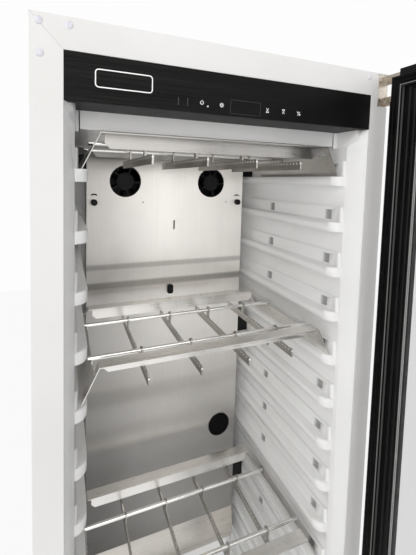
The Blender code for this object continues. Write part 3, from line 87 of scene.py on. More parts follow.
# Marks on the control panel
PANEL_FACE = 0.0005
MARK_ROW = TOP - 0.0865
INK_WIDTH = 0.0008
LIFT = 0.00002

# Camera solved from the photograph: eye in cabinet coordinates, turns in radians, sizes in pixels
EYE_X, EYE_Y, EYE_DROP = -0.2583, -0.4210, 0.1982
EYE_YAW, EYE_PITCH, EYE_ROLL = 0.338, -0.062, 0.021
PICTURE_WIDTH, PICTURE_HEIGHT = 416, 555
FOCAL_PIXELS = 313.5
CENTRE_COLUMN, CENTRE_ROW = 173.65, 199.43
SENSOR_WIDTH = 36.0


# ---------------------------------------------------------------- shader maths


class Value:
    """One output in a node tree; arithmetic on it adds the maths nodes."""

    def __init__(self, tree, socket=None):
        self.tree = tree
        self.socket = socket

    def node(self, kind, inputs=(), output=0, **settings):
        made = self.tree.nodes.new(kind)
        for name, value in settings.items():
            setattr(made, name, value)
        for key, value in dict(inputs).items():
            self.plug(made.inputs[key], value)
        return Value(self.tree, made.outputs[output])

    def plug(self, target, value):
        if isinstance(value, Value):
            self.tree.links.new(value.socket, target)
        elif hasattr(target.default_value, "__len__") and not hasattr(value, "__len__"):
            target.default_value = [value] * len(target.default_value)
        elif hasattr(target.default_value, "__len__") and len(target.default_value) == 4 and len(value) == 3:
            target.default_value = (*value, 1.0)
        else:
            target.default_value = value

    def maths(self, operation, *others):
        return self.node("ShaderNodeMath", enumerate((self, *others)), operation=operation)

    def __add__(self, other):
        return self.maths("ADD", other)

    def __sub__(self, other):
        return self.maths("SUBTRACT", other)

    def __mul__(self, other):
        return self.maths("MULTIPLY", other)

    def __neg__(self):
        return self.maths("MULTIPLY", -1.0)

    def __abs__(self):
        return self.maths("ABSOLUTE")

    def __radd__(self, other):
        return self + other

    def __rmul__(self, other):
        return self * other

    def __rsub__(self, other):
        return -self + other

    def __lt__(self, other):
        return self.maths("LESS_THAN", other)

    def greater(self, other):
        return self.maths("MAXIMUM", other)

    def wrapped(self, pitch):
        """Distance from the nearest multiple of a pitch."""
        return abs(self.maths("WRAP", -pitch / 2, pitch / 2))

    def step(self, low, high, start=0.0, end=1.0):
        """Smooth step from start to end while this goes from low to high."""
        inputs = (("Value", self), ("From Min", low), ("From Max", high), ("To Min", start), ("To Max", end))
        return self.node("ShaderNodeMapRange", inputs, interpolation_type="SMOOTHSTEP")

    def axes(self):
        parted = self.tree.nodes.new("ShaderNodeSeparateXYZ")
        self.tree.links.new(self.socket, parted.inputs[0])
        return [Value(self.tree, parted.outputs[i]) for i in range(3)]

    def scaled(self, scale):
        return self.node("ShaderNodeMapping", (("Vector", self), ("Scale", scale)))

    def noise(self, scale, detail=3.0, roughness=0.5, stretch=None):
        place = self if stretch is None else self.scaled(stretch)
        inputs = (("Vector", place), ("Scale", scale), ("Detail", detail), ("Roughness", roughness))
        return place.node("ShaderNodeTexNoise", inputs)

    def cells(self, scale):
        return self.node("ShaderNodeTexVoronoi", (("Vector", self), ("Scale", scale)))

    def colour(self, low, high):
        """Colour between two, picked by this value."""
        made = self.tree.nodes.new("ShaderNodeMix")
        made.data_type = "RGBA"
        self.tree.links.new(self.socket, made.inputs["Factor"])
        for key, value in ((6, low), (7, high)):
            self.plug(made.inputs[key], value)
        return Value(self.tree, made.outputs[2])

    def bump(self, distance, strength):
        inputs = (("Height", self), ("Distance", distance), ("Strength", strength))
        return self.node("ShaderNodeBump", inputs)


class Surface:
    """A material with one Principled shader, and the coordinates that its patterns use."""

    def __init__(self, name, **constants):
        self.material = bpy.data.materials.new(name)
        self.material.use_nodes = True
        tree = self.material.node_tree
        self.shader = tree.nodes["Principled BSDF"]
        self.start = Value(tree)
        for key, value in constants.items():
            self.start.plug(self.shader.inputs[key.replace("_", " ")], value)
        self.place = self.start.node("ShaderNodeTexCoord", output="Object")

    def local(self):
        """Coordinates counted from the piece's own corner."""
        return self.start.node("ShaderNodeAttribute", output="Vector", attribute_name="local")

    def feed(self, **values):
        for key, value in values.items():
            self.start.plug(self.shader.inputs[key.replace("_", " ")], value)
        return self.material


# ---------------------------------------------------------------- materials


def painted(name, base, shade, roughness, peel=900.0):
    """Powder coat: orange peel, slight mottle and a few rubbed patches."""
    s = Surface(name, Specular_IOR_Level=0.5, Coat_Weight=0.12, Coat_Roughness=0.2)
    mottle = s.place.noise(9.0, 4.0)
    grain = s.place.noise(peel, 2.0)
    rubbed = s.place.noise(3.0, 5.0, 0.65).step(0.45, 0.75)
    return s.feed(
        Base_Color=mottle.step(0.3, 0.7).colour(shade, base),
        Roughness=roughness + 0.10 * rubbed + 0.05 * grain,
        Normal=(grain + 0.2 * mottle).bump(0.00006, 0.35),
    )


def frame_paint():
    """White coat of the front frame with the hairline joints of its four mitred strips."""
    s = Surface("frame_paint", Specular_IOR_Level=0.45, Coat_Weight=0.08, Coat_Roughness=0.15)
    x, _, z = s.place.axes()
    side = HALF - abs(x - MIDDLE)
    head = (TOP - PLINTH) / 2 - abs(z - (TOP + PLINTH) / 2)
    joint = abs(side * (FRAME_HEAD / FRAME_SIDE) - head).step(0.00025, 0.0007, 1.0, 0.0)
    joint = joint * (side < FRAME_SIDE + 0.0005)
    mottle = s.place.noise(7.0, 4.0)
    grain = s.place.noise(1100.0, 2.0)
    paint = mottle.step(0.3, 0.7).colour((0.795, 0.79, 0.78), (0.83, 0.827, 0.82))
    return s.feed(
        Base_Color=(joint * 0.45).colour(paint, (0.42, 0.41, 0.40)),
        Roughness=0.34 + 0.08 * mottle + 0.25 * joint,
        Normal=(grain - 6.0 * joint).bump(0.00006, 0.35),
    )


def liner_plastic(name, painted_duct_shade=False):
    """Thermoformed sheet: fine pebble, soft sink marks, painted shade in its pockets and, if asked, painted
    shade on the wall behind the duct cover.
    """
    s = Surface(name, Specular_IOR_Level=0.5, Coat_Weight=0.2, Coat_Roughness=0.25,
                Subsurface_Weight=0.03, Subsurface_Scale=0.004)
    sink = s.place.noise(5.0, 3.0)
    pebble = s.place.noise(1500.0, 2.0)
    haze = s.place.noise(22.0, 5.0, 0.6, (1.0, 0.35, 1.0))
    colour = sink.step(0.3, 0.7).colour((0.89, 0.89, 0.888), (0.94, 0.94, 0.94))
    x, y, z = s.place.axes()
    # Painted shade: the pockets in the rail walls are coloured dark grey
    row = (TOP - FIRST_POCKET_DROP - z).wrapped(RAIL_PITCH).step(0.0094, 0.0098, 1.0, 0.0)
    column = (y - FACE - FIRST_POCKET_DEPTH).wrapped(POCKET_SPACING).step(0.0052, 0.0058, 1.0, 0.0)
    painted_pocket_shade = abs(x - MIDDLE).step(0.2395, 0.2420) * row * column
    colour = painted_pocket_shade.colour(colour, (0.38, 0.38, 0.375))
    if painted_duct_shade:
        # Painted shade: near black on the back wall behind the duct cover, where the duct is dark
        duct_shade_mask = abs(x - MIDDLE).step(0.190, 0.200, 1.0, 0.0) * z.step(0.50, 0.54)
        colour = duct_shade_mask.colour(colour, (0.016, 0.016, 0.016))
    return s.feed(
        Base_Color=colour,
        Roughness=0.36 + 0.14 * haze,
        Normal=(pebble + 1.6 * sink).bump(0.00007, 0.35),
    )


def painted_cover_shade(x, z):
    """Painted shade and reflections on the upright cover: darker to the left, in soft bands, and lower down.
    """
    down = TOP - z
    dark = down.step(0.54, 0.76, 0.0, 0.20) + down.step(0.78, 0.96, 0.0, 0.42)
    for drop, inside, outside, strength in COVER_PAINTED_REFLECTIONS:
        dark = dark + abs(down - drop).step(inside, outside, strength, 0.0)
    return (1.0 - dark) * (x - MIDDLE).step(-0.205, 0.030, 0.56, 1.0)


def rack_painted_shade(x, z):
    """Painted shade on a rack: the upper one hangs in the shade of the cabinet's head."""
    return (TOP - z).step(0.20, 0.50, 0.52, 1.0)


def brushed(name, light, dark, stretch, roughness=0.26, turned=0.35, warm=None, rotation=0.0, painted_shading=None):
    """Brushed stainless: long fine scratches, cloudy tint, faint smears, and, where given, painted shade and
    reflections that darken it.
    """
    s = Surface(name, Metallic=1.0, Anisotropic=turned, Anisotropic_Rotation=rotation)
    fine = s.place.noise(900.0, 2.0, 0.6, stretch)
    coarse = s.place.noise(160.0, 3.0, 0.6, stretch)
    cloud = s.place.noise(6.0, 4.0, 0.55)
    smear = s.place.noise(14.0, 5.0, 0.7, (1.0, 1.0, 0.45)).step(0.45, 0.75)
    lines = 0.6 * fine + 0.4 * coarse
    tone = (0.45 * cloud + 0.55 * lines).step(0.25, 0.75)
    colour = tone.colour(dark, light if warm is None else cloud.step(0.35, 0.65).colour(light, warm))
    if painted_shading:
        x, _, z = s.place.axes()
        colour = painted_shading(x, z).colour((0.0, 0.0, 0.0), colour)
    return s.feed(
        Base_Color=colour,
        Roughness=roughness + 0.12 * lines + 0.07 * smear,
        Normal=lines.bump(0.00003, 0.4),
    )


def blade_steel():
    """Sheet of the hanging blades, with a row of small painted light dots along the blade."""
    s = Surface("blade_steel", Metallic=1.0, Anisotropic=0.3)
    _, y, z = s.local().axes()
    # Painted light: near-white dots where the blades show bright spots
    along = y.wrapped(0.0088)
    across = z - 0.0113
    painted_light_dot = (along * along + across * across).maths("SQRT").step(0.0012, 0.0017, 1.0, 0.0)
    lines = s.place.noise(900.0, 2.0, 0.6, (1.0, 0.02, 1.0))
    cloud = s.place.noise(20.0, 4.0)
    steel = (0.5 * cloud + 0.5 * lines).step(0.3, 0.7).colour((0.36, 0.345, 0.32), (0.56, 0.54, 0.51))
    return s.feed(
        Base_Color=painted_light_dot.colour(steel, (0.95, 0.95, 0.94)),
        Metallic=1.0 - 0.8 * painted_light_dot,
        Roughness=0.27 + 0.12 * lines + 0.3 * painted_light_dot,
        Normal=(lines - 8.0 * painted_light_dot).bump(0.00004, 0.5),
    )


def fascia_black():
    """Anodised black panel brushed along its length, with a painted reflection that makes it lighter to the
    left.
    """
    s = Surface("fascia_black", Specular_IOR_Level=0.08, Coat_Weight=0.04, Coat_Roughness=0.4)
    fine = s.place.noise(1400.0, 2.0, 0.6, (0.012, 1.0, 1.0))
    band = s.place.noise(300.0, 3.0, 0.6, (0.01, 1.0, 1.0))
    lines = 0.55 * fine + 0.45 * band
    x, _, z = s.place.axes()
    # Painted reflection: lighter to the left, darker to the right
    painted_shading = (x - MIDDLE).step(-0.26, 0.16, 1.0, 0.12)
    return s.feed(
        Base_Color=(lines.step(0.35, 0.7) * painted_shading).colour((0.0009, 0.0009, 0.0010), (0.016, 0.0156, 0.015)),
        Roughness=0.36 + 0.18 * lines,
        Normal=lines.bump(0.00003, 0.5),
    )


def moulded(name, base, light, roughness, shine=0.4):
    """Moulded plastic or rubber: spark-eroded grain, dusty bloom and slight flow marks."""
    s = Surface(name, Specular_IOR_Level=shine)
    grain = s.place.cells(1300.0)
    flow = s.place.noise(18.0, 4.0, 0.6)
    bloom = s.place.noise(60.0, 5.0, 0.7).step(0.45, 0.8)
    return s.feed(
        Base_Color=(0.6 * flow + 0.4 * bloom).step(0.25, 0.8).colour(base, light),
        Roughness=roughness + 0.10 * bloom + 0.06 * grain,
        Normal=grain.bump(0.00005, 0.4),
    )


def gasket_rubber():
    """Soft black rubber with fine ribs along the seal and a painted grey highlight along its inner edge."""
    s = Surface("gasket_rubber", Specular_IOR_Level=0.07)
    inset = s.start.node("ShaderNodeAttribute", output="Fac", attribute_name="inset")
    rib = inset.wrapped(0.0021).step(0.0002, 0.0007)
    # Painted highlight: a grey line on the gasket's rounded inner edge
    bead = abs(inset - 0.0235).step(0.0007, 0.0011, 1.0, 0.0)
    worn = s.place.noise(40.0, 4.0, 0.6)
    black = worn.step(0.3, 0.7).colour((0.0015, 0.0015, 0.0016), (0.0045, 0.0045, 0.0046))
    return s.feed(
        Base_Color=(bead * (0.75 + 0.25 * worn)).colour(black, (0.21, 0.21, 0.205)),
        Roughness=0.40 + 0.12 * worn,
        Normal=(rib + 0.4 * worn).bump(0.00012, 0.5),
    )


def plated(name, light, dark, roughness=0.22):
    """Nickel plate with fine tumbling marks and duller hollows."""
    s = Surface(name, Metallic=1.0)
    marks = s.place.noise(700.0, 4.0, 0.7)
    cloud = s.place.noise(70.0, 4.0, 0.6)
    return s.feed(
        Base_Color=(0.5 * marks + 0.5 * cloud).step(0.3, 0.7).colour(dark, light),
        Roughness=roughness + 0.16 * cloud,
        Normal=marks.bump(0.00003, 0.4),
    )


def foam():
    """Rigid foam with its open cut cells."""
    s = Surface("foam", Specular_IOR_Level=0.2)
    cell = s.place.cells(420.0)
    tint = s.place.noise(8.0, 4.0)
    return s.feed(
        Base_Color=tint.step(0.3, 0.7).colour((0.76, 0.70, 0.52), (0.84, 0.79, 0.63)),
        Roughness=0.85 + 0.1 * cell,
        Normal=cell.bump(0.0004, 0.6),
    )


def pane_glass():
    """Clear tinted pane with wiping haze so faint that only glancing light shows it."""
    s = Surface("pane_glass", IOR=1.45, Specular_IOR_Level=1.0)
    haze = s.place.noise(4.0, 5.0, 0.65, (1.0, 1.0, 0.4)).step(0.5, 0.85)
    fine = s.place.noise(60.0, 3.0)
    return s.feed(
        Base_Color=haze.colour((0.020, 0.024, 0.023), (0.10, 0.11, 0.11)),
        Roughness=0.02 + 0.06 * haze,
        Alpha=0.078 + 0.014 * haze,
        Normal=fine.bump(0.00001, 0.05),
    )


def clear_plastic():
    """Clear soft plastic of the bumper discs, with a lilac cast."""
    s = Surface("clear_plastic", IOR=1.45, Transmission_Weight=0.2, Coat_Weight=0.6)
    swirl = s.place.noise(260.0, 3.0)
    return s.feed(
        Base_Color=swirl.step(0.3, 0.7).colour((0.80, 0.79, 0.88), (0.93, 0.925, 0.98)),
        Roughness=0.12 + 0.12 * swirl,
        Normal=swirl.bump(0.0002, 0.4),
    )


def printed(name, base, shade, glow=0.0):
    """Screen-printed ink with a slightly broken edge tone, and, where given, a painted glow that brightens
    it.
    """
    s = Surface(name, Specular_IOR_Level=0.3, Emission_Strength=glow)
    ink = s.place.noise(2400.0, 3.0, 0.7)
    tone = ink.step(0.3, 0.7).colour(shade, base)
    return s.feed(
        Base_Color=tone,
        Emission_Color=tone,
        Roughness=0.5 + 0.1 * ink,
        Normal=ink.bump(0.00002, 0.2),
    )


UP_BRUSH = (1.0, 1.0, 0.012)
WIDE_BRUSH = (0.012, 1.0, 1.0)
LOOKS = {
    "frame": frame_paint(),
    "casing": painted("casing_paint", (0.82, 0.82, 0.81), (0.78, 0.78, 0.77), 0.38),
    "liner": liner_plastic("liner_plastic"),
    # Liner with painted shade, near black behind the duct cover
    "duct_lining": liner_plastic("duct_lining", True),
    # Cover steel with painted shade and reflections
    "cover": brushed("cover_steel", (0.97, 0.945, 0.91), (0.87, 0.845, 0.81), UP_BRUSH, 0.30, 0.88,
                     warm=(0.98, 0.95, 0.905), painted_shading=painted_cover_shade),
    "scoop": brushed("scoop_steel", (0.68, 0.655, 0.62), (0.56, 0.535, 0.50), WIDE_BRUSH, 0.22,
                     warm=(0.74, 0.69, 0.62), rotation=0.25),
    # Rack steel with painted shade, darker on the upper rack
    "rack": brushed("rack_steel", (0.92, 0.90, 0.87), (0.72, 0.70, 0.67), WIDE_BRUSH, 0.22, rotation=0.25,
                    painted_shading=rack_painted_shade),
    "rod": brushed("rod_steel", (0.93, 0.92, 0.90), (0.82, 0.81, 0.78), WIDE_BRUSH, 0.12, 0.2),
    "trim": brushed("trim_steel", (0.66, 0.65, 0.63), (0.54, 0.53, 0.51), UP_BRUSH, 0.26),
    "blade": blade_steel(),
    "fascia": fascia_black(),
    "black_metal": painted("black_steel", (0.030, 0.030, 0.031), (0.020, 0.020, 0.021), 0.42, 1400.0),
    "black_frame": moulded("black_frame", (0.0022, 0.0022, 0.0024),
                           (0.0065, 0.0065, 0.0065), 0.38, shine=0.17),
    "black_plastic": moulded("black_plastic", (0.004, 0.004, 0.0043),
                             (0.012, 0.012, 0.013), 0.42, shine=0.22),
    "fan_plastic": moulded("fan_plastic", (0.006, 0.006, 0.0063), (0.015, 0.015, 0.015), 0.42, shine=0.16),
    "filter": moulded("filter_plastic", (0.0012, 0.0012, 0.0013), (0.004, 0.004, 0.004), 0.5, shine=0.08),
    "gasket": gasket_rubber(),
    # Painted highlight: light grey glazing beads for the bright lines at the glass edge
    "bead": moulded("glass_bead", (0.34, 0.34, 0.335), (0.44, 0.44, 0.43), 0.35),
    "nickel": plated("nickel", (0.60, 0.56, 0.50), (0.32, 0.28, 0.23)),
    "aluminium": plated("aluminium", (0.22, 0.22, 0.225), (0.12, 0.12, 0.125), 0.38),
    "foam": foam(),
    "glass": pane_glass(),
    "clear": clear_plastic(),
    # The white ink has a painted glow, though it is no lamp
    "ink": printed("white_ink", (0.92, 0.92, 0.92), (0.80, 0.80, 0.80), 0.25),
    "faint_ink": printed("grey_ink", (0.055, 0.055, 0.055), (0.040, 0.040, 0.040)),
}


# ---------------------------------------------------------------- mesh helpers


def at(x, y, z):
    """A point in cabinet coordinates, in the frame."""
    return Vector((MIDDLE + x, FACE + y, z))


def on_door(x, y, z):
    """A point given for the closed door, where the open door has it."""
    return PIVOT + DOOR_TURN @ (at(x, y, z) - PIVOT)


def mesh_object(name, shape, look, smooth=30.0):
    mesh = bpy.data.meshes.new(name)
    shape.to_mesh(mesh)
    shape.free()
    thing = bpy.data.objects.new(name, mesh)
    bpy.context.scene.collection.objects.link(thing)
    mesh.materials.clear()
    mesh.materials.append(LOOKS[look])
    mesh.polygons.foreach_set("use_smooth", [True] * len(mesh.polygons))
    mesh.set_sharp_from_angle(angle=math.radians(smooth))
    return thing


def bake(thing):
    """Replaces a piece's modifiers by the mesh that they make."""
    graph = bpy.context.evaluated_depsgraph_get()
    mesh = bpy.data.meshes.new_from_object(thing.evaluated_get(graph))
    thing.modifiers.clear()
    thing.data = mesh
    return thing


def mark_local(thing, low):
    """Stores each point's place counted from the piece's lowest corner."""
    mesh = thing.data
    count = len(mesh.vertices)
    points = np.empty(count * 3, np.float32)
    mesh.vertices.foreach_get("co", points)
    points = points.reshape(-1, 3) - np.array(low, np.float32)
    layer = mesh.attributes.new("local", "FLOAT_VECTOR", "POINT")
    layer.data.foreach_set("vector", points.ravel())


def settle(thing, body, slot, *replaced):
    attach(thing, body)
    if replaced:
        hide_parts(*replaced)
    return thing


def refined(node, look, bevel, smooth=35.0, merge=True):
    """A copy of a CAD piece with welded, eased and smoothly shaded edges."""
    shape = bmesh.new()
    shape.from_mesh(NODES[node].data)
    bmesh.ops.remove_doubles(shape, verts=shape.verts, dist=1e-6)
    if merge:
        bmesh.ops.dissolve_limit(shape, angle_limit=math.radians(0.3), verts=shape.verts, edges=shape.edges)
    thing = mesh_object(node + "_skin", shape, look, smooth)
    if bevel:
        ease = thing.modifiers.new("ease", "BEVEL")
        ease.width = bevel
        ease.segments = 2
        ease.limit_method = "ANGLE"
        ease.angle_limit = math.radians(32)
        ease.miter_outer = "MITER_ARC"
    even = thing.modifiers.new("even", "WEIGHTED_NORMAL")
    even.mode = "FACE_AREA"
    even.weight = 80
    even.keep_sharp = True
    bake(thing)
    mark_local(thing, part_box(node)[0])
    slot = next(part["material_slot"] for part in frame["record"]["subparts"] if part["node"] == node)
    return settle(thing, BODY_OF[node], slot, node)


def lathe(shape, profile, centre, axis, count):
    """Closed turned body: profile of (radius, along) pairs round an axis given as a unit vector."""
    axis = Vector(axis)
    side = axis.orthogonal().normalized()
    other = axis.cross(side)
    rings = []
    for radius, along in profile:
        if radius < 1e-7:
            rings.append([shape.verts.new(centre + axis * along)])
            continue
        ring = []
        for i in range(count):
            a = math.tau * i / count
            outward = side * math.cos(a) + other * math.sin(a)
            ring.append(shape.verts.new(centre + axis * along + radius * outward))
        rings.append(ring)
    for low, high in zip(rings, rings[1:]):
        for i in range(count):
            j = (i + 1) % count
            corners = [low[i % len(low)], low[j % len(low)], high[j % len(high)], high[i % len(high)]]
            corners = list(dict.fromkeys(corners))
            if len(corners) > 2:
                shape.faces.new(corners)
    for ring, flip in ((rings[0], True), (rings[-1], False)):
        if len(ring) > 1:
            shape.faces.new(ring[::-1] if flip else ring)


def sweep_frame(name, profile, half, low, high, look, place):
    """Profile of (inset, depth) pairs swept round a rectangle with mitred corners."""
    shape = bmesh.new()
    mark = shape.verts.layers.float.new("inset")
    rings = []
    for inset, depth in profile:
        x, bottom, top = half - inset, low + inset, high - inset
        corners = ((-x, bottom), (x, bottom), (x, top), (-x, top))
        rings.append([shape.verts.new(place(a, depth, b)) for a, b in corners])
        for corner in rings[-1]:
            corner[mark] = HALF - half + inset
    for first, second in zip(rings, [*rings[1:], rings[0]]):
        for i in range(4):
            j = (i + 1) % 4
            shape.faces.new((first[i], first[j], second[j], second[i]))
    bmesh.ops.recalc_face_normals(shape, faces=shape.faces)
    return mesh_object(name, shape, look, 25.0)


def stroke(shape, points, width, level, closed=False):
    """Flat line on the panel's face through points given as (x, z) in cabinet coordinates."""
    count = len(points)
    rails = []
    for i, (x, z) in enumerate(points):
        before = points[i - 1] if closed or i else points[i]
        after = points[(i + 1) % count] if closed or i < count - 1 else points[i]
        along = Vector((after[0] - before[0], after[1] - before[1]))
        along.normalize()
        offset = Vector((-along.y, along.x)) * (width / 2)
        edges = [(x + side * offset.x, z + side * offset.y) for side in (-1, 1)]
        rails.append([[shape.verts.new(at(edge_x, y, edge_z)) for y in level] for edge_x, edge_z in edges])
    last = count if closed else count - 1
    for i in range(last):
        (a, a_back), (b, b_back) = rails[i]
        (c, c_back), (d, d_back) = rails[(i + 1) % count]
        faces = (a, b, d, c), (a_back, c_back, d_back, b_back)
        sides = (a, c, c_back, a_back), (b, b_back, d_back, d)
        for quad in (*faces, *sides):
            shape.faces.new(quad)
    if not closed:
        for (a, a_back), (b, b_back) in (rails[0], rails[-1]):
            shape.faces.new((a, a_back, b_back, b))


def arc(centre, radius, start, end, steps=16):
    """Points on an arc between two angles in degrees."""
    turns = [math.radians(start + (end - start) * i / steps) for i in range(steps + 1)]
    return [(centre[0] + radius * math.cos(a), centre[1] + radius * math.sin(a)) for a in turns]


def round_box(centre, width, height, radius, steps=6):
    """Outline of a rounded rectangle."""
    points = []
    for sx, sz, start in ((1, 1, 0), (-1, 1, 90), (-1, -1, 180), (1, -1, 270)):
        corner = (centre[0] + sx * (width / 2 - radius), centre[1] + sz * (height / 2 - radius))
        points += arc(corner, radius, start, start + 90, steps)
    return points


def repeat(name, pattern, places, look):
    """One pattern on each place, by a Geometry Nodes tree that is then baked."""
    tree = bpy.data.node_groups.new(name + "_repeat", "GeometryNodeTree")
    tree.interface.new_socket("Geometry", in_out="INPUT", socket_type="NodeSocketGeometry")
    tree.interface.new_socket("Pattern", in_out="INPUT", socket_type="NodeSocketObject")
    tree.interface.new_socket("Surface", in_out="INPUT", socket_type="NodeSocketMaterial")
    tree.interface.new_socket("Geometry", in_out="OUTPUT", socket_type="NodeSocketGeometry")
    start = tree.nodes.new("NodeGroupInput")
    end = tree.nodes.new("NodeGroupOutput")
    info = tree.nodes.new("GeometryNodeObjectInfo")
    copies = tree.nodes.new("GeometryNodeInstanceOnPoints")
    real = tree.nodes.new("GeometryNodeRealizeInstances")
    paint = tree.nodes.new("GeometryNodeSetMaterial")
    for source, target in (
        (start.outputs["Geometry"], copies.inputs["Points"]),
        (start.outputs["Pattern"], info.inputs["Object"]),
        (info.outputs["Geometry"], copies.inputs["Instance"]),
        (copies.outputs["Instances"], real.inputs[0]),
        (real.outputs[0], paint.inputs["Geometry"]),
        (start.outputs["Surface"], paint.inputs["Material"]),
        (paint.outputs[0], end.inputs[0]),
    ):
        tree.links.new(source, target)
    mesh = bpy.data.meshes.new(name)
    mesh.from_pydata([tuple(place) for place in places], [], [])
    thing = bpy.data.objects.new(name, mesh)
    bpy.context.scene.collection.objects.link(thing)
    adding = thing.modifiers.new("repeat", "NODES")
    adding.node_group = tree
    names = {item.name: item.identifier for item in tree.interface.items_tree if item.in_out == "INPUT"}
    adding[names["Pattern"]] = pattern
    adding[names["Surface"]] = LOOKS[look]
    bake(thing)
    mesh = thing.data
    mesh.polygons.foreach_set("use_smooth", [True] * len(mesh.polygons))
    mesh.set_sharp_from_angle(angle=math.radians(35))
    bpy.data.objects.remove(pattern, do_unlink=True)
    bpy.data.node_groups.remove(tree)
    return thing


# ---------------------------------------------------------------- pieces


def dress_casing():
    refined("front_frame", "frame", 0.0, merge=False)
    for node in ("outer_shell", "back_cover"):
        refined(node, "casing", 0.0, merge=False)
    refined("base_pan", "black_metal", 0.0, merge=False)
    refined("insulation", "foam", 0.0, merge=False)
    refined("compressor", "black_metal", 0.0)
    refined("power_inlet", "black_plastic", 0.0005)
    for node in ("liner_wall_left", "liner_wall_right"):
        refined(node, "liner", 0.0, smooth=50.0, merge=False)
    # The back wall gets painted shade behind the duct cover
    refined("liner_back", "duct_lining", 0.0, merge=False)
    for node in ("liner_ceiling", "liner_floor"):
        refined(node, "liner", 0.0, smooth=50.0, merge=False)


def bumper_discs():
    """Clear soft discs on the frame's face."""
    shape = bmesh.new()
    lathe(shape, [(0.0050, 0.0), (0.0050, 0.0004), (0.0044, 0.0008), (0.0030, 0.00105), (0.0, 0.0011)],
          Vector((0, 0, 0)), (0, -1, 0), 28)
    pattern = mesh_object("disc_pattern", shape, "clear")
    spots = []
    for x, drop in ((-0.287, 0.010), (-0.252, 0.010), (-0.286, 0.048), (0.252, 0.010)):
        spots += [at(x, -LIFT, TOP - drop), at(x, -LIFT, PLINTH + drop)]
    settle(repeat("bumper_discs", pattern, spots, "clear"), "cabinet", "frame_paint")


def panel():
    """Fascia with its bare badge place, touch symbols and display window."""
    refined("control_fascia", "fascia", 0.0005)
    refined("control_housing", "black_plastic", 0.0008)
    level = (PANEL_FACE - 0.00016, PANEL_FACE + LIFT)
    shape = bmesh.new()
    stroke(shape, round_box((-0.182, TOP - 0.0695), 0.0755, 0.0225, 0.0042), 0.0014, level, True)
    mark = (-0.070, TOP - 0.086)
    stroke(shape, arc(mark, 0.0024, 125, 415, 20), INK_WIDTH, level)
    stroke(shape, [(mark[0], mark[1] + 0.0012), (mark[0], mark[1] + 0.0036)], INK_WIDTH, level)
    stroke(shape, arc((-0.0605, TOP - 0.0905), 0.0006, 0, 360, 8), 0.0012, level)
    mark = (-0.038, MARK_ROW)
    stroke(shape, arc(mark, 0.0019, 0, 360, 18), 0.0009, level)
    for turn in range(0, 360, 45):
        a = math.radians(turn)
        ends = [(mark[0] + r * math.cos(a), mark[1] + r * math.sin(a)) for r in (0.0027, 0.0036)]
        stroke(shape, ends, 0.0007, level)
    for x, way in ((0.042, 1), (0.072, -1), (0.102, 0)):
        if way:
            for rise in (0.0030, -0.0030):
                wedge = [(x - 0.0022, MARK_ROW + rise), (x, MARK_ROW), (x + 0.0022, MARK_ROW + rise)]
                stroke(shape, wedge, INK_WIDTH, level)
            bar = MARK_ROW - way * 0.0034
            stroke(shape, [(x - 0.0026, bar), (x + 0.0026, bar)], INK_WIDTH, level)
        else:
            slash = [(x - 0.0024, MARK_ROW - 0.0030), (x + 0.0024, MARK_ROW + 0.0030)]
            stroke(shape, slash, INK_WIDTH, level)
            for side in (-1, 1):
                ring = arc((x - side * 0.0020, MARK_ROW + side * 0.0018), 0.0010, 0, 360, 10)
                stroke(shape, ring, INK_WIDTH, level)
    bmesh.ops.recalc_face_normals(shape, faces=shape.faces)
    settle(mesh_object("panel_marks", shape, "ink"), "cabinet", "black_fascia")
    shape = bmesh.new()
    stroke(shape, round_box((0.003, TOP - 0.0870), 0.052, 0.020, 0.0012, 3), 0.0006, level, True)
    for x in (-0.106, -0.092):
        stroke(shape, [(x, TOP - 0.082), (x, TOP - 0.093)], 0.0012, level)
    bmesh.ops.recalc_face_normals(shape, faces=shape.faces)
    settle(mesh_object("panel_window_line", shape, "faint_ink"), "cabinet", "black_fascia")


def duct():
    refined("duct_cover", "cover", 0.0, merge=False)
    refined("duct_scoop", "scoop", 0.0, smooth=60.0)
    refined("evaporator", "aluminium", 0.0)
    refined("sensor_cover", "black_plastic", 0.0004)
    refined("air_filter", "filter", 0.0006)
    for side in ("left", "right"):
        refined("thumb_screw_" + side, "black_plastic", 0.0003)
        for level in ("upper", "middle", "lower"):
            refined(f"{level}_bracket_{side}", "black_plastic", 0.0006)


def fans():
    for side in ("left", "right"):
        refined(f"fan_{side}_frame", "fan_plastic", 0.0003)
        refined(f"fan_{side}_rotor", "fan_plastic", 0.0)


def smooth_rod(node, look, ease=0.0006):
    """Round bar with eased ends in place of a faceted one."""
    low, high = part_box(node)
    centre = (low + high) / 2
    size = high - low
    along = max(range(3), key=lambda i: size[i])
    half = size[along] / 2
    radius = min(size[i] for i in range(3) if i != along) / 2
    direction = Vector((0, 0, 0))
    direction[along] = 1.0
    shape = bmesh.new()
    lathe(shape, [(0, -half), (radius - ease, -half), (radius, -half + ease), (radius, half - ease),
                  (radius - ease, half), (0, half)], centre, direction, 32)
    bmesh.ops.recalc_face_normals(shape, faces=shape.faces)
    thing = mesh_object(node + "_skin", shape, look)
    return settle(thing, BODY_OF[node], "stainless", node)


def racks():
    for name in ("upper", "middle", "lower"):
        refined(name + "_rack_frame", "rack", 0.0)
        for end in ("front", "back"):
            smooth_rod(f"{name}_rack_{end}_rod", "rod")
        for i in range(1, 5):
            refined(f"{name}_rack_blade_{i}", "blade", 0.0)


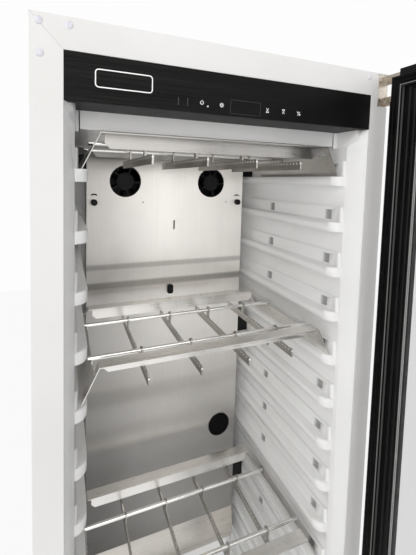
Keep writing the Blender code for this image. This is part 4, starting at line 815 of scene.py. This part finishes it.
def door():
    refined("door_frame", "black_frame", 0.0, merge=False)
    refined("door_trim", "trim", 0.0006, merge=False)
    refined("door_handle", "rod", 0.0, smooth=40.0)
    for node in ("outer_pane", "inner_pane"):
        refined(node, "glass", 0.0)
    low, high = PLINTH + DOOR_END_GAP, TOP - DOOR_END_GAP
    profile = (
        (0.0, -0.0102), (0.0, -0.0050), (0.0010, -0.0028), (0.0024, -0.0020), (0.0060, -0.0018),
        (0.0074, -0.0026), (0.0086, -0.0026), (0.0100, -0.0016), (0.0128, -0.0014), (0.0138, -0.0022),
        (0.0146, -0.0022), (0.0154, -0.0014), (0.0172, -0.00125), (0.0179, -0.0020), (0.0180, -0.0034),
        (0.0174, -0.0060), (0.0174, -0.0102),
    )
    half, foot, head = HALF - GASKET_SIDE_GAP, low + GASKET_INSET, high - GASKET_INSET
    ring = sweep_frame("door_gasket_skin", profile, half, foot, head, "gasket", on_door)
    settle(ring, "door", "gasket_rubber", "door_gasket")
    profile = (
        (0.0270, -0.01035), (0.0270, -0.0098), (0.0310, -0.0098), (0.0318, -0.0090), (0.0332, -0.0086),
        (0.0344, -0.0092), (0.0352, -0.0100), (0.0368, -0.0100), (0.0392, -0.0088), (0.0420, -0.0086),
        (0.0436, -0.0096), (0.0468, -0.0097), (0.0474, -0.0101), (0.0474, -0.01035),
    )
    ring = sweep_frame("door_step_moulding", profile, HALF, low, high, "black_frame", on_door)
    settle(ring, "door", "black_frame")
    # Glazing beads in light grey, as painted highlight lines at the glass edge
    for side, start, end, rise in (("outer", 0.0476, 0.0491, 0.0006), ("inner", 0.0497, 0.0512, 0.0004)):
        profile = (
            (start, -0.01035), (start, -0.0101 + rise / 2), ((start + end) / 2, -0.0101 + rise),
            (end, -0.0101 + rise / 2), (end, -0.01035),
        )
        ring = sweep_frame("glass_bead_" + side, profile, HALF, low, high, "bead", on_door)
        settle(ring, "door", "black_frame")


def hinges():
    """Hinges and the round heads of the screws in their plates."""
    for name in ("upper", "lower"):
        refined(name + "_hinge", "nickel", 0.0005)
    shape = bmesh.new()
    rim = [(0.0038, 0.0), (0.0038, 0.0003), (0.0032, 0.0007)]
    hollow = [(0.0014, 0.0009), (0.0011, 0.0004), (0.0, 0.0004)]
    lathe(shape, rim + hollow, Vector((0, 0, 0)), (0, -1, 0), 24)
    pattern = mesh_object("screw_pattern", shape, "nickel")
    spots = []
    for name in ("upper", "lower"):
        low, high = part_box(name + "_hinge")
        middle = (low.z + high.z) / 2
        for rise in (-0.0165, 0.0165):
            spots.append(Vector((low.x + 0.0065, FACE - LIFT, middle + rise)))
    settle(repeat("hinge_screws", pattern, spots, "nickel"), "cabinet", "nickel")


# ---------------------------------------------------------------- studio


def studio():
    scene = bpy.context.scene
    scene.view_settings.view_transform = "Standard"
    scene.view_settings.look = "None"
    world = bpy.data.worlds.new("studio")
    scene.world = world
    world.use_nodes = True
    tree = world.node_tree
    tree.nodes.clear()
    start = Value(tree)
    rays = tree.nodes.new("ShaderNodeLightPath")
    through = Value(tree, rays.outputs["Is Transmission Ray"])
    seen = Value(tree, rays.outputs["Is Camera Ray"]).greater(through)
    x, y, z = start.node("ShaderNodeTexCoord", output="Generated").axes()
    leftward = (0.1 * z - 0.75 * x - 0.65 * y).step(0.55, 0.95, 0.0, 0.54)
    ahead = (0.15 * x - 0.98 * y).step(0.78, 0.97, 0.0, 0.36)
    light = z.step(-0.8, 0.8, 0.08, 0.18) + leftward + ahead
    gloss = Value(tree, rays.outputs["Is Glossy Ray"])
    light = light * (1.0 - gloss) + gloss * (-y).step(-0.3, 0.7, 0.32, 0.64)
    sky = light.colour((0.0, 0.0, 0.0), (2.5, 2.48, 2.45))
    shade = seen.colour(sky, (0.985, 0.985, 0.985))
    back = start.node("ShaderNodeBackground", (("Color", shade), ("Strength", 1.0)))
    out = tree.nodes.new("ShaderNodeOutputWorld")
    tree.links.new(back.socket, out.inputs[0])

    floor = bmesh.new()
    bmesh.ops.create_grid(floor, x_segments=2, y_segments=2, size=4.0)
    plane = mesh_object("studio_floor", floor, "casing")
    plane.location.z = -0.0005
    s = Surface("studio_floor", Roughness=0.95, Specular_IOR_Level=0.1)
    fleck = s.place.noise(2.0, 3.0)
    plane.data.materials[0] = s.feed(Base_Color=fleck.colour((0.78, 0.78, 0.78), (0.82, 0.82, 0.82)))
    tree = s.start.tree
    rays = tree.nodes.new("ShaderNodeLightPath")
    seen = 0.93 - 0.93 * Value(tree, rays.outputs["Is Diffuse Ray"])
    glow = s.start.node("ShaderNodeEmission", (("Color", (0.985, 0.985, 0.985)),))
    lit = Value(tree, s.shader.outputs[0])
    blend = s.start.node("ShaderNodeMixShader", ((0, seen), (1, lit), (2, glow)))
    tree.links.new(blend.socket, tree.nodes["Material Output"].inputs[0])

    for name, place, aim, size, power in (
        ("key", (-1.5, -2.3, 2.7), (0.0, 0.2, 1.2), (2.2, 2.2), 5.0),
        ("top", (0.2, -0.6, 3.6), (0.0, 0.2, 0.8), (2.4, 1.6), 3.0),
    ):
        lamp = bpy.data.lights.new(name, "AREA")
        lamp.shape = "RECTANGLE"
        lamp.size, lamp.size_y = size
        lamp.energy = power
        thing = bpy.data.objects.new(name, lamp)
        scene.collection.objects.link(thing)
        thing.location = place
        thing.rotation_euler = (Vector(aim) - Vector(place)).to_track_quat("-Z", "Y").to_euler()


def camera():
    """Camera solved from the photograph: wide, close and shifted."""
    yaw, pitch, roll = EYE_YAW, EYE_PITCH, EYE_ROLL
    ahead = Vector((math.sin(yaw) * math.cos(pitch), math.cos(yaw) * math.cos(pitch), math.sin(pitch)))
    right = Vector((math.cos(yaw), -math.sin(yaw), 0))
    up = right.cross(ahead)
    across = right * math.cos(roll) + up * math.sin(roll)
    upward = up * math.cos(roll) - right * math.sin(roll)
    eye = bpy.data.cameras.new("camera")
    eye.sensor_width = SENSOR_WIDTH
    eye.lens = FOCAL_PIXELS * SENSOR_WIDTH / PICTURE_HEIGHT
    eye.shift_x = (PICTURE_WIDTH / 2 - CENTRE_COLUMN) / PICTURE_HEIGHT
    eye.shift_y = (CENTRE_ROW - PICTURE_HEIGHT / 2) / PICTURE_HEIGHT
    eye.clip_start = 0.01
    thing = bpy.data.objects.new("camera", eye)
    bpy.context.scene.collection.objects.link(thing)
    turn = Matrix((across, upward, -ahead)).transposed().to_4x4()
    thing.matrix_world = Matrix.Translation(at(EYE_X, EYE_Y, TOP - EYE_DROP)) @ turn
    bpy.context.scene.camera = thing


def main():
    dress_casing()
    bumper_discs()
    panel()
    duct()
    fans()
    racks()
    door()
    hinges()
    studio()
    camera()


main()
